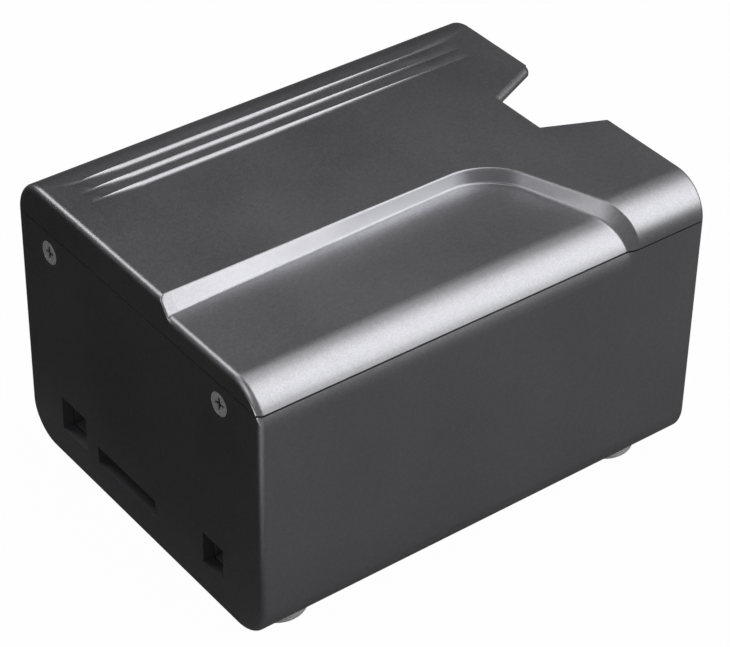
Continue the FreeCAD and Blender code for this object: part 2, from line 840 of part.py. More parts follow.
def bench_screws():
    """The four screws that hold the bench on its spacers."""
    return Part.makeCompound([cap_screw(x, y, bench_top, stack_screw_diameter, stack_screw_length,
                                        stack_screw_head, stack_screw_head_height)
                              for x, y in stack_places])


def bisector(source, place, target):
    """Angle, in degrees, of the normal of a mirror that sends light from a source to a target."""
    incoming = V(place[0] - source[0], place[1] - source[1], 0)
    outgoing = V(target[0] - place[0], target[1] - place[1], 0)
    incoming.normalize()
    outgoing.normalize()
    normal = outgoing - incoming
    return math.degrees(math.atan2(normal.y, normal.x))


def optic_mounts():
    """The three mounts: place, angle of the normal, optic's width, height and thickness, and swing."""
    collimating = bisector(slit_place, collimating_place, grating_place)
    focusing = bisector(grating_place, focusing_place, sensor_place)
    return {
        "collimating": (collimating_place, collimating, collimating_mirror_width, mirror_height,
                        mirror_thickness, mirror_swing),
        "focusing": (focusing_place, focusing, focusing_mirror_width, mirror_height,
                     mirror_thickness, mirror_swing),
        "grating": (grating_place, grating_normal_angle, grating_size, grating_size,
                    grating_thickness, grating_swing)}


def set_in_place(shape, kind):
    """A shape made about the origin, facing +X, brought to its mount's place and angle."""
    place, angle = optic_mounts()[kind][:2]
    copy = shape.copy()
    copy.rotate(V(0, 0, 0), V(0, 0, 1), angle)
    copy.translate(V(place[0], place[1], 0))
    return copy


def concave_radius(kind):
    """Radius of a mirror's face: twice its distance from the slit or the sensor."""
    place = optic_mounts()[kind][0]
    other = slit_place if kind == "collimating" else sensor_place
    return 2 * math.hypot(place[0] - other[0], place[1] - other[1])


def dish(kind):
    """Height of a mirror's corners over the middle of its hollow face."""
    width, height = optic_mounts()[kind][2:4]
    radius = concave_radius(kind)
    return radius - math.sqrt(radius ** 2 - (width ** 2 + height ** 2) / 4)


def mirror(kind):
    """A rectangular glass block with a hollow spherical face."""
    width, height, thickness = optic_mounts()[kind][2:5]
    radius = concave_radius(kind)
    block = box(-thickness, dish(kind), -width / 2, width / 2,
                axis_level - height / 2, axis_level + height / 2)
    return set_in_place(block.cut(Part.makeSphere(radius, V(radius, 0, axis_level))), kind)


def grating():
    """The ruled plate, with bevelled front edges."""
    width, height, thickness = optic_mounts()["grating"][2:5]
    block = box(-thickness, 0, -width / 2, width / 2, axis_level - height / 2, axis_level + height / 2)
    front = edges_where(block, lambda p: abs(p.x) < 1e-6)
    return set_in_place(block.makeChamfer(grating_thickness / 10, front), "grating")


def arc_slot(radius, middle_angle, half_angle, half_width, low, high):
    """A curved slot about the origin with round ends."""
    points = []
    for r in (radius - half_width, radius + half_width):
        row = []
        for angle in (middle_angle - half_angle, middle_angle, middle_angle + half_angle):
            a = math.radians(angle)
            row.append(V(r * math.cos(a), r * math.sin(a), low))
        points.append(row)
    inner, outer = points
    edges = [Part.Arc(*inner).toShape(), Part.LineSegment(inner[2], outer[2]).toShape(),
             Part.Arc(*outer[::-1]).toShape(), Part.LineSegment(outer[0], inner[0]).toShape()]
    slot = Part.Face(Part.Wire(edges)).extrude(V(0, 0, high - low))
    ends = []
    for angle in (middle_angle - half_angle, middle_angle + half_angle):
        a = math.radians(angle)
        ends.append(rod(half_width, high - low, V(radius * math.cos(a), radius * math.sin(a), low)))
    return slot.fuse(ends)


def mount(kind):
    """A turning mount: a base with curved slots and an open frame that holds the optic."""
    width, height, thickness, swing = optic_mounts()[kind][2:6]
    rise = 0.0 if kind == "grating" else dish(kind)
    half = width / 2 + optic_clearance + mount_frame_wall
    front = rise + optic_clearance
    back = -thickness - optic_clearance
    low = axis_level - height / 2
    high = axis_level + height / 2
    base = box(back - mount_frame_wall, mount_base_reach, -half, half, mount_floor, mount_top)
    corners = [edge for edge in base.Edges if abs(edge.Length - mount_base_thickness) < 1e-6]
    base = base.makeFillet(mount_corner_round, [edge for edge in corners if edge.Vertexes[0].Point.x > 0])
    frame = box(back - mount_frame_wall, front + mount_lip, -half, half, mount_floor, high)
    pocket = box(back, front, -width / 2 - optic_clearance, width / 2 + optic_clearance,
                 low - optic_clearance, high + cut_margin)
    window = box(0, front + mount_lip + cut_margin, mount_lip - width / 2, width / 2 - mount_lip,
                 low + mount_lip, high + cut_margin)
    body = base.fuse(frame).cut([pocket, window])
    reach = math.hypot(lock_reach, lock_side)
    side_angle = math.degrees(math.atan2(lock_side, lock_reach))
    slot_half = lock_screw_diameter / 2 + slot_clearance
    cuts = [rod(pivot_pin_diameter / 2 + pivot_pin_clearance, mount_base_thickness + 2 * cut_margin,
                V(0, 0, mount_floor - cut_margin))]
    for side in (-1, 1):
        cuts.append(arc_slot(reach, side * side_angle, swing, slot_half,
                             mount_floor - cut_margin, mount_top + cut_margin))
    cuts.append(rod(clip_screw_diameter / 2 + thread_clearance, mount_frame_wall + 2 * cut_margin,
                    V(back + cut_margin, 0, high - clip_drop / 2), V(-1, 0, 0)))
    return set_in_place(body.cut(cuts).removeSplitter(), kind)


def clip(kind):
    """A bent spring strip that presses the optic down into its frame."""
    height, thickness = optic_mounts()[kind][3:5]
    high = axis_level + height / 2 + mount_gap / 2
    back = -thickness - optic_clearance - mount_frame_wall - mount_gap / 2
    outer = box(back - clip_thickness, -thickness / 3, -clip_width / 2, clip_width / 2,
                high - clip_drop, high + clip_thickness)
    inner = box(back, 0, -clip_width, clip_width, high - clip_drop - cut_margin, high)
    strip = outer.cut(inner)
    hole = rod(clip_screw_diameter / 2 + screw_clearance, clip_thickness + 2 * cut_margin,
               V(back + cut_margin, 0, high - clip_drop / 2), V(-1, 0, 0))
    bend = edges_where(strip, lambda p: abs(p.x - back + clip_thickness) < 1e-6
                       and abs(p.z - high - clip_thickness) < 1e-6)
    return set_in_place(strip.makeFillet(clip_thickness * 0.9, bend).cut(hole), kind)


def clip_screw(kind):
    """The small screw that holds the spring strip against the back of the frame."""
    height, thickness = optic_mounts()[kind][3:5]
    high = axis_level + height / 2
    seat = -thickness - optic_clearance - mount_frame_wall - mount_gap / 2 - clip_thickness
    centre = V(seat, 0, high - clip_drop / 2)
    shank = rod(clip_screw_diameter / 2, mount_frame_wall + clip_thickness, centre, V(1, 0, 0))
    head = rod(clip_screw_head / 2, clip_screw_head_height, centre, V(-1, 0, 0))
    rim = edges_where(head, lambda p: abs(p.x - seat + clip_screw_head_height) < 1e-6)
    head = head.makeChamfer(clip_screw_head_height / 3, rim)
    groove_cut = box(seat - clip_screw_head_height - cut_margin, seat - clip_screw_head_height / 2,
                     -clip_screw_head, clip_screw_head,
                     centre.z - clip_screw_diameter / 8, centre.z + clip_screw_diameter / 8)
    return set_in_place(shank.fuse(head).cut(groove_cut).removeSplitter(), kind)


def pivot_pin(kind):
    """The pin in the bench that a mount turns on."""
    length = pivot_pin_depth + mount_base_thickness
    pin = rod(pivot_pin_diameter / 2, length, V(0, 0, bench_top - pivot_pin_depth))
    ends = edges_where(pin, lambda p: abs(p.z - bench_top + pivot_pin_depth - length) < 1e-6)
    return set_in_place(pin.makeChamfer(pivot_pin_diameter / 12, ends), kind)


def lock_places(kind):
    """Where the two lock screws of a mount go into the bench."""
    place, angle = optic_mounts()[kind][:2]
    a = math.radians(angle)
    found = []
    for side in (-lock_side, lock_side):
        found.append((place[0] + lock_reach * math.cos(a) - side * math.sin(a),
                      place[1] + lock_reach * math.sin(a) + side * math.cos(a)))
    return found


def mount_lock_screws():
    """Six screws that clamp the three mounts once they are aligned."""
    seat = mount_top + mount_gap
    length = mount_base_thickness + 2 * mount_gap + lock_screw_depth
    return Part.makeCompound([cap_screw(x, y, seat, lock_screw_diameter, length, lock_screw_head,
                                        lock_screw_head_height)
                              for kind in optic_mounts() for x, y in lock_places(kind)])


def bracket_screw_places():
    """Where the detector bracket's foot and the baffle's foot are screwed down."""
    foot_x = sensor_x - bracket_thickness - bracket_foot_length / 2
    places = [(foot_x, sensor_y - bracket_width / 3), (foot_x, sensor_y + bracket_width / 3)]
    places.append((baffle_x - baffle_foot_length / 2, baffle_middle_y()))
    return places


def baffle_middle_y():
    """Height across the bench at which the light from the slit passes the baffle."""
    share = (slit_x - baffle_x) / (slit_x - collimating_place[0])
    return collimating_place[1] * share


def optical_bench():
    """The plate that carries the optics and shuts them off from the circuit board."""
    inset = housing_wall + bench_clearance
    plate = plan_block(inset, inset, bench_low, bench_top)
    rim = ring(inset, inset + bench_rim_width, inset, inset + bench_rim_width,
               bench_low + bench_thickness / 2, bench_top + bench_rim_height)
    bench = plate.fuse(rim)
    cuts = [rod(stack_screw_diameter / 2 + screw_clearance, 2 * bench_thickness,
                V(x, y, bench_low - cut_margin)) for x, y in stack_places]
    for kind, values in optic_mounts().items():
        x, y = values[0]
        cuts.append(rod(pivot_pin_diameter / 2 + pivot_pin_clearance, pivot_pin_depth + cut_margin,
                        V(x, y, bench_top - pivot_pin_depth)))
        for x, y in lock_places(kind):
            cuts.append(rod(lock_screw_diameter / 2 + thread_clearance, lock_screw_depth + cut_margin,
                            V(x, y, bench_top - lock_screw_depth - thread_clearance)))
    for x, y in bracket_screw_places():
        cuts.append(rod(small_screw_diameter / 2 + thread_clearance, bench_thickness + cut_margin,
                        V(x, y, bench_top - bench_thickness * 0.8)))
    half_cable = cable_width / 2 + cut_margin
    cuts.append(box(cable_x - cut_margin, cable_x + cut_margin, sensor_y - half_cable, sensor_y + half_cable,
                    bench_low - cut_margin, bench_top + cut_margin))
    return bench.cut(cuts).removeSplitter()


def fibre_connector():
    """The bulkhead connector: nose, flange and tail in one, bored through for the fibre's ferrule."""
    start = V(tail_end, 0, axis_level)
    along = V(1, 0, 0)
    tail = rod(connector_thread_diameter / 2, connector_tail_length, start, along)
    flange = rod(connector_flange_diameter / 2, connector_flange_thickness,
                 V(niche_face, 0, axis_level), along)
    rim = edges_where(flange, lambda p: abs(p.x - niche_face - connector_flange_thickness) < 1e-6)
    flange = flange.makeChamfer(connector_flange_thickness / 5, rim)
    nose_start = niche_face + connector_flange_thickness
    nose = rod(connector_thread_diameter / 2, connector_nose_length, V(nose_start, 0, axis_level), along)
    tip = edges_where(nose, lambda p: abs(p.x - nose_start - connector_nose_length) < 1e-6)
    nose = nose.makeChamfer((connector_thread_diameter - connector_bore_diameter) / 8, tip)
    bore = rod(connector_bore_diameter / 2, connector_tail_length + connector_flange_thickness
               + connector_nose_length + 2 * cut_margin, start - along * cut_margin, along)
    return united([tail, flange, nose]).cut(bore)


def fibre_connector_washer():
    """The toothed washer under the connector's nut, drawn as a plain ring."""
    x = niche_inner - connector_washer_thickness
    disc = rod(connector_washer_diameter / 2, connector_washer_thickness, V(x, 0, axis_level), V(1, 0, 0))
    hole = rod(connector_thread_diameter / 2 + connector_fit, connector_washer_thickness + 2 * cut_margin,
               V(x - cut_margin, 0, axis_level), V(1, 0, 0))
    return disc.cut(hole)


def fibre_connector_nut():
    """The nut that holds the connector in the niche's back wall."""
    x = niche_inner - connector_washer_thickness - connector_nut_thickness
    nut = hexagon(connector_nut_across_flats, connector_nut_thickness, V(x, 0, axis_level), True)
    hole = rod(connector_thread_diameter / 2 + thread_clearance, connector_nut_thickness + 2 * cut_margin,
               V(x - cut_margin, 0, axis_level), V(1, 0, 0))
    return nut.cut(hole)


def slit_holder():
    """The cap on the connector's tail that carries the slit."""
    seat = slit_disc_thickness + slit_ring_thickness
    start = tail_end - slit_web - seat
    length = seat + slit_web + slit_holder_overlap
    along = V(1, 0, 0)
    cap = rod(slit_holder_diameter / 2, length, V(start, 0, axis_level), along)
    rim = edges_where(cap, lambda p: abs(p.x - start) < 1e-6)
    cap = cap.makeChamfer(seat / 5, rim)
    cuts = [rod(slit_disc_diameter / 2 + connector_fit, seat + cut_margin,
                V(start - cut_margin, 0, axis_level), along),
            rod(slit_aperture / 2, length, V(start, 0, axis_level), along),
            rod(connector_thread_diameter / 2 + thread_clearance, slit_holder_overlap + cut_margin,
                V(tail_end - thread_clearance, 0, axis_level), along)]
    return cap.cut(cuts)


def entrance_slit():
    """The thin disc with the slit cut through it."""
    disc = rod(slit_disc_diameter / 2, slit_disc_thickness, V(slit_x, 0, axis_level), V(1, 0, 0))
    return disc.cut(box(slit_x - cut_margin, slit_x + cut_margin, -slit_width / 2, slit_width / 2,
                        axis_level - slit_height / 2, axis_level + slit_height / 2))


def slit_ring():
    """The ring that presses the slit's disc into its seat."""
    start = V(slit_x - slit_ring_thickness, 0, axis_level)
    disc = rod(slit_disc_diameter / 2, slit_ring_thickness, start, V(1, 0, 0))
    hole = rod(slit_ring_opening / 2, slit_ring_thickness + 2 * cut_margin, start - V(cut_margin, 0, 0),
               V(1, 0, 0))
    return disc.cut(hole)


def entrance_baffle():
    """A bent black plate with a round opening for the light from the slit."""
    middle = baffle_middle_y()
    plate = box(baffle_x, baffle_x + baffle_thickness, middle - baffle_width / 2, middle + baffle_width / 2,
                bench_top, optic_top)
    upper = [edge for edge in plate.Edges if abs(edge.Length - baffle_thickness) < 1e-6
             and edge.Vertexes[0].Point.z > axis_level]
    plate = plate.makeFillet(baffle_width / 6, upper)
    foot_plate = box(baffle_x - baffle_foot_length, baffle_x + baffle_thickness / 2,
                     middle - baffle_width / 2, middle + baffle_width / 2, bench_top,
                     bench_top + baffle_thickness)
    x, y = bracket_screw_places()[2]
    cuts = [rod(baffle_aperture / 2, 4 * baffle_thickness,
                V(baffle_x - baffle_thickness, middle, axis_level), V(1, 0, 0)),
            rod(small_screw_diameter / 2 + screw_clearance, 4 * baffle_thickness,
                V(x, y, bench_top - baffle_thickness))]
    return plate.fuse(foot_plate).cut(cuts).removeSplitter()


def baffle_screw():
    """The screw in the baffle's foot."""
    x, y = bracket_screw_places()[2]
    return cap_screw(x, y, bench_top + baffle_thickness, small_screw_diameter,
                     baffle_thickness + bench_thickness / 2, small_screw_head, small_screw_head_height)


def detector_screw_places():
    """Height and side of the four screws that hold the detector board on its bracket."""
    return [(sensor_y + a * detector_screw_side, axis_level + b * detector_screw_rise)
            for a in (-1, 1) for b in (-1, 1)]


def detector_bracket():
    """The bracket that holds lens, filter and sensor in line, screwed to the bench by its foot."""
    front = sensor_x - bracket_thickness
    side = bracket_width / 2
    upright = box(front, sensor_x, sensor_y - side, sensor_y + side, bench_top,
                  axis_level + bracket_over_axis)
    foot_plate = box(front - bracket_foot_length, front + cut_margin, sensor_y - side, sensor_y + side,
                     bench_top, bench_top + bracket_foot_thickness)
    bosses = [rod(detector_boss_diameter / 2, sensor_thickness, V(sensor_x, y, z), V(1, 0, 0))
              for y, z in detector_screw_places()]
    body = upright.fuse([foot_plate] + bosses)
    half_lens = lens_length / 2 + optic_clearance
    half_glass = lens_height / 2 + optic_clearance
    ledge = lens_height / 8
    cuts = [box(front - cut_margin, front + glass_seat, sensor_y - half_lens, sensor_y + half_lens,
                axis_level - half_glass, axis_level + half_glass),
            box(sensor_x - filter_thickness - optic_clearance, sensor_x + cut_margin,
                sensor_y - half_lens, sensor_y + half_lens, axis_level - half_glass, axis_level + half_glass),
            box(front, sensor_x, sensor_y - half_lens + ledge, sensor_y + half_lens - ledge,
                axis_level - half_glass + ledge, axis_level + half_glass - ledge)]
    for y, z in detector_screw_places():
        cuts.append(rod(small_screw_diameter / 2 + thread_clearance, sensor_thickness + bracket_thickness / 2,
                        V(sensor_x + sensor_thickness, y, z), V(-1, 0, 0)))
    for x, y in bracket_screw_places()[:2]:
        cuts.append(rod(small_screw_diameter / 2 + screw_clearance, 2 * bracket_foot_thickness,
                        V(x, y, bench_top - cut_margin)))
    return body.cut(cuts).removeSplitter()


def bracket_screws():
    """The two screws in the detector bracket's foot."""
    return Part.makeCompound([cap_screw(x, y, bench_top + bracket_foot_thickness, small_screw_diameter,
                                        bracket_foot_thickness + bench_thickness / 2, small_screw_head,
                                        small_screw_head_height)
                              for x, y in bracket_screw_places()[:2]])


def collection_lens():
    """A cylinder lens that squeezes the light onto the row of pixels."""
    back = sensor_x - bracket_thickness + glass_seat
    block = box(back - lens_thickness, back, sensor_y - lens_length / 2, sensor_y + lens_length / 2,
                axis_level - lens_height / 2, axis_level + lens_height / 2)
    curve = rod(lens_curve_radius, lens_length,
                V(back - lens_thickness + lens_curve_radius, sensor_y - lens_length / 2, axis_level),
                V(0, 1, 0))
    return block.common(curve)


def order_filter():
    """The flat filter in front of the sensor."""
    return box(sensor_x - filter_thickness, sensor_x, sensor_y - lens_length / 2, sensor_y + lens_length / 2,
               axis_level - lens_height / 2, axis_level + lens_height / 2)


def image_sensor():
    """The sensor's ceramic package, hollowed for its chip and its window."""
    half = sensor_length / 2
    body = box(sensor_x, sensor_x + sensor_thickness, sensor_y - half, sensor_y + half,
               axis_level - sensor_height / 2, axis_level + sensor_height / 2)
    half_window = sensor_window_length / 2 + optic_clearance
    half_rise = sensor_window_height / 2 + optic_clearance
    seat = box(sensor_x - cut_margin, sensor_x + sensor_window_thickness, sensor_y - half_window,
               sensor_y + half_window, axis_level - half_rise, axis_level + half_rise)
    ledge = sensor_window_height / 8
    well = box(sensor_x, sensor_x + sensor_thickness / 2, sensor_y - half_window + ledge,
               sensor_y + half_window - ledge, axis_level - half_rise + ledge, axis_level + half_rise - ledge)
    return body.cut([seat, well])


def sensor_window():
    """The glass that seals the sensor."""
    return box(sensor_x, sensor_x + sensor_window_thickness,
               sensor_y - sensor_window_length / 2, sensor_y + sensor_window_length / 2,
               axis_level - sensor_window_height / 2, axis_level + sensor_window_height / 2)


def sensor_chip():
    """The long silicon chip behind the window."""
    back = sensor_x + sensor_thickness / 2
    return box(back - sensor_window_thickness, back, sensor_y - sensor_die_length / 2,
               sensor_y + sensor_die_length / 2, axis_level - sensor_die_height / 2,
               axis_level + sensor_die_height / 2)


def detector_board():
    """The small board that the sensor is soldered to."""
    start = sensor_x + sensor_thickness
    board = box(start, start + detector_board_thickness, sensor_y - bracket_width / 2,
                sensor_y + bracket_width / 2, axis_level - detector_board_half_height,
                axis_level + detector_board_half_height)
    return board.cut([rod(small_screw_diameter / 2 + screw_clearance, 3 * detector_board_thickness,
                          V(start - detector_board_thickness, y, z), V(1, 0, 0))
                      for y, z in detector_screw_places()])


def detector_screws():
    """The four screws through the detector board."""
    seat = sensor_x + sensor_thickness + detector_board_thickness
    parts = []
    for y, z in detector_screw_places():
        shank = rod(small_screw_diameter / 2, detector_board_thickness + sensor_thickness, V(seat, y, z),
                    V(-1, 0, 0))
        head = rod(small_screw_head / 2, small_screw_head_height, V(seat, y, z), V(1, 0, 0))
        parts.append(shank.fuse(head).removeSplitter())
    return Part.makeCompound(parts)


def cable_slot(low, high):
    """The opening in a cable socket."""
    half = cable_width / 2 + cable_thickness / 6
    return box(cable_x - cable_thickness * 0.7, cable_x + cable_thickness * 0.7,
               sensor_y - half, sensor_y + half, low, high)


def cable_top():
    """Level of the upper socket's mouth."""
    return axis_level - detector_board_half_height + cable_socket_height / 4


def board_cable_socket():
    """The cable's socket on the main board."""
    half = cable_socket_width / 2
    block = box(cable_x - cable_socket_depth / 2, cable_x + cable_socket_depth / 2,
                sensor_y - half, sensor_y + half, board_top, board_top + cable_socket_height)
    high = board_top + cable_socket_height
    return block.cut(cable_slot(high - cable_entry, high + cut_margin))


def detector_cable_socket():
    """The cable's socket on the back of the detector board."""
    half = cable_socket_width / 2
    start = sensor_x + sensor_thickness + detector_board_thickness
    low = cable_top()
    block = box(start, cable_x + cable_socket_depth / 2, sensor_y - half, sensor_y + half,
                low, low + cable_socket_height)
    return block.cut(cable_slot(low - cut_margin, low + cable_entry))


def flat_cable():
    """The flat cable between the two boards."""
    play = cable_thickness / 3
    return box(cable_x - cable_thickness / 2, cable_x + cable_thickness / 2,
               sensor_y - cable_width / 2, sensor_y + cable_width / 2,
               board_top + cable_socket_height - cable_entry + play, cable_top() + cable_entry - play)


def all_nodes():
    """Every piece, by the name of its node."""
    body = outer_body()
    nodes = {"lower_housing": lower_housing(body), "top_cover": top_cover(body),
             "cover_seal": cover_seal(), "cover_screws": cover_screws()}
    for name, (x, y) in foot_places().items():
        nodes[name] = foot(x, y)
    nodes.update({
        "main_board": main_board(), "data_socket": data_socket(), "accessory_socket": accessory_socket(),
        "power_socket": power_socket(),
        "processor_chip": chip(processor_x, processor_y, processor_size, processor_size, processor_height),
        "memory_chip": chip(processor_x, memory_y, memory_length, memory_width, memory_height),
        "converter_chip": chip(converter_x, converter_y, converter_length, converter_width,
                               converter_height),
        "power_coil": chip(coil_x, coil_y, coil_size, coil_size, coil_height),
        "board_capacitors": board_capacitors(),
        "board_spacers": board_spacers(), "optical_bench": optical_bench(), "bench_screws": bench_screws(),
        "fibre_connector": fibre_connector(), "fibre_connector_washer": fibre_connector_washer(),
        "fibre_connector_nut": fibre_connector_nut(), "slit_holder": slit_holder(),
        "entrance_slit": entrance_slit(), "slit_ring": slit_ring(),
        "entrance_baffle": entrance_baffle(), "baffle_screw": baffle_screw(),
        "collimating_mirror": mirror("collimating"), "focusing_mirror": mirror("focusing"),
        "diffraction_grating": grating(), "mount_lock_screws": mount_lock_screws(),
        "detector_bracket": detector_bracket(), "bracket_screws": bracket_screws(),
        "collection_lens": collection_lens(), "order_filter": order_filter(), "image_sensor": image_sensor(),
        "sensor_window": sensor_window(), "sensor_chip": sensor_chip(), "detector_board": detector_board(),
        "detector_screws": detector_screws(), "board_cable_socket": board_cable_socket(),
        "detector_cable_socket": detector_cable_socket(), "flat_cable": flat_cable()})
    for kind in optic_mounts():
        nodes[kind + "_mount"] = mount(kind)
        nodes[kind + "_clip"] = clip(kind)
        nodes[kind + "_clip_screw"] = clip_screw(kind)
        nodes[kind + "_pivot_pin"] = pivot_pin(kind)
    return nodes


os.makedirs("parts", exist_ok=True)
for name, shape in all_nodes().items():
    print(name, len(shape.Solids), shape.isValid(), round(shape.Volume, 2))
    shape.exportStep("parts/" + name + ".step")
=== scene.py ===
import json
import math

import bpy
from mathutils import Matrix, Vector


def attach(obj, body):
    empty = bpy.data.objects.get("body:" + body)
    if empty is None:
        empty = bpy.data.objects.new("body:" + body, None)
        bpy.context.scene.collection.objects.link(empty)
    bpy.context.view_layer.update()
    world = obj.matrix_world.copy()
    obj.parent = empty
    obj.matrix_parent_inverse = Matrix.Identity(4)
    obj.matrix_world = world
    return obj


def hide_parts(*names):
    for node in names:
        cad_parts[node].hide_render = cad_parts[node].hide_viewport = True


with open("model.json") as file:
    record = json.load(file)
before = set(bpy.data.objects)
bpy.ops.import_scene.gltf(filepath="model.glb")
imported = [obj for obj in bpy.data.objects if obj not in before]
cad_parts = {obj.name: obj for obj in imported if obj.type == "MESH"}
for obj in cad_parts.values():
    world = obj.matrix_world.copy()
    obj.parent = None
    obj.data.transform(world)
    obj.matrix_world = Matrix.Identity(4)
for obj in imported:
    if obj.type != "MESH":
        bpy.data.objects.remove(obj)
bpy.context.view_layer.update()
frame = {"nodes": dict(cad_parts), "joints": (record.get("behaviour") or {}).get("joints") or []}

bl_info = {
    "name": "Bench spectrometer",
    "version": (1, 0, 0),
    "blender": (4, 5, 0),
    "location": "3D View > Sidebar > Spectrometer",
    "description": "Dresses a small fibre-fed spectrometer and its studio",
    "category": "Object",
}

MM = 0.001

# Nose of the fibre connector
NOSE_RADIUS = 3.175 * MM
NOSE_THREAD = 8.6 * MM  # from the thread's start to the tip
NOSE_TIP = 0.8 * MM  # plain end
NOSE_SURFACE = 0.2 * MM  # points less than this under the radius belong to the surface
THREAD_PITCH = 0.7056 * MM
THREAD_DEPTH = 0.38 * MM
ON_PLANE = 0.05  # share of half a pitch

# Smooth skins
WELD = 1e-6
SMOOTH_ANGLE = math.radians(28.0)

# Ranges in which noise mostly lies
NOISE_SPAN = (0.3, 0.7)
NOISE_CORE = (0.35, 0.65)

# Mix node: numbers of its colour sockets, because several of its sockets share a name
MIX_FACTOR, MIX_FIRST, MIX_SECOND, MIX_RESULT = 0, 6, 7, 2

# Painted highlight on the step's ramp
HIGHLIGHT_BOX = (("X", -0.0478, 0.038), ("Y", -0.036, 0.005), ("Z", 0.0597, 0.064))  # axis, low, high
HIGHLIGHT_UPRIGHT = (0.35, 0.62)  # upward share of the normal, from full painted highlight to none
HIGHLIGHT_FADE = (0.0, 0.038)  # along X, from full painted highlight to none
HIGHLIGHT_SHARE = 1.9  # how much lighter than the case

# Blasted grain of the case
GRAIN_DEPTH = 0.00002

# Depths behind a cover screw's face between which painted shade darkens its drive recess
RECESS_SHADE_START = 0.0001
RECESS_SHADE_END = 0.0004

# Stretches that squeeze noise into tool marks
MARKS_X = (60, 1, 1)
MARKS_Y = (1, 60, 1)
MARKS_Z = (1, 1, 60)
MARKS_YZ = (1, 60, 60)

# Grating
GRATING_FACING = math.radians(214)
GRATING_HALF = 0.007  # half the width of its face
GRATING_RULINGS = 9000.0  # in a metre, far fewer than real ones so that they show
# Colours of the painted diffraction sheen across the grating's face
GRATING_SHEEN_COLOURS = [
    (0.0, (0.5, 0.42, 0.75, 1)), (0.3, (0.4, 0.6, 0.8, 1)), (0.5, (0.5, 0.78, 0.55, 1)),
    (0.7, (0.82, 0.75, 0.42, 1)), (1.0, (0.8, 0.45, 0.42, 1)),
]

# Lamps: the setting with the power, the place, the width and the height
LAMPS = (
    ("key", (0.50, -0.60, 0.66), 0.9, 1.15),
    ("upper", (0.25, 0.06, 0.95), 0.6, 0.6),
    ("side", (-0.92, 0.05, 0.52), 0.5, 0.8),
    ("back", (-0.32, 0.66, 0.72), 0.45, 0.45),
    ("front", (-0.62, -0.72, 0.62), 1.1, 1.0),
)
LAMP_AIM = (0, 0, 0.03)

# How white the floor is to the camera and through glass, and how much of it turns black in reflections
SEEN_WHITE = 0.98
THROUGH_WHITE = 0.5
PORT_END_REFLECTED_SHADE = 0.97  # in reflections past the port end, painted shade
REFLECTED_DARK = 0.79  # in reflections, elsewhere
PORT_END_EDGE = (-0.07, -0.045)  # along X, from outer to inner
CORNER_PAINTED_HIGHLIGHT = 0.8  # taken off in front of the corner of the port end and the near side, a lighter patch that is a painted highlight in that corner's reflection
CORNER_X = (-0.1, -0.06)
CORNER_Y = (-0.075, -0.045)

# Camera, solved from the photograph
PHOTO_WIDTH = 730
FOCAL_PIXELS = 2693.13
SENSOR_WIDTH = 36.0
CLIP_START = 0.01
CLIP_END = 20.0
CAMERA_AZIMUTH = math.radians(-37.5866)
CAMERA_RISE = math.radians(36.9871)
CAMERA_ROLL = math.radians(1.0251)
CAMERA_AIM = Vector((1.50, 0.0, 28.82)) * MM
CAMERA_DISTANCE = 515.09


# Shader maths

class Socket:
    """An output of a shader node that can be used in sums and products."""

    def __init__(self, paint, link):
        self.paint = paint
        self.link = link

    def maths(self, operation, *values):
        return self.paint.node("ShaderNodeMath", {"operation": operation}, dict(enumerate(values)))

    def __add__(self, other):
        return self.maths("ADD", self, other)

    def __radd__(self, other):
        return self.maths("ADD", other, self)

    def __sub__(self, other):
        return self.maths("SUBTRACT", self, other)

    def __rsub__(self, other):
        return self.maths("SUBTRACT", other, self)

    def __mul__(self, other):
        return self.maths("MULTIPLY", self, other)

    def __rmul__(self, other):
        return self.maths("MULTIPLY", other, self)

    def __gt__(self, other):
        return self.maths("GREATER_THAN", self, other)

    def __lt__(self, other):
        return self.maths("LESS_THAN", self, other)

    def clamped(self):
        return self.maths("MINIMUM", self.maths("MAXIMUM", self, 0.0), 1.0)

    def fraction(self):
        return self.maths("FRACT", self)


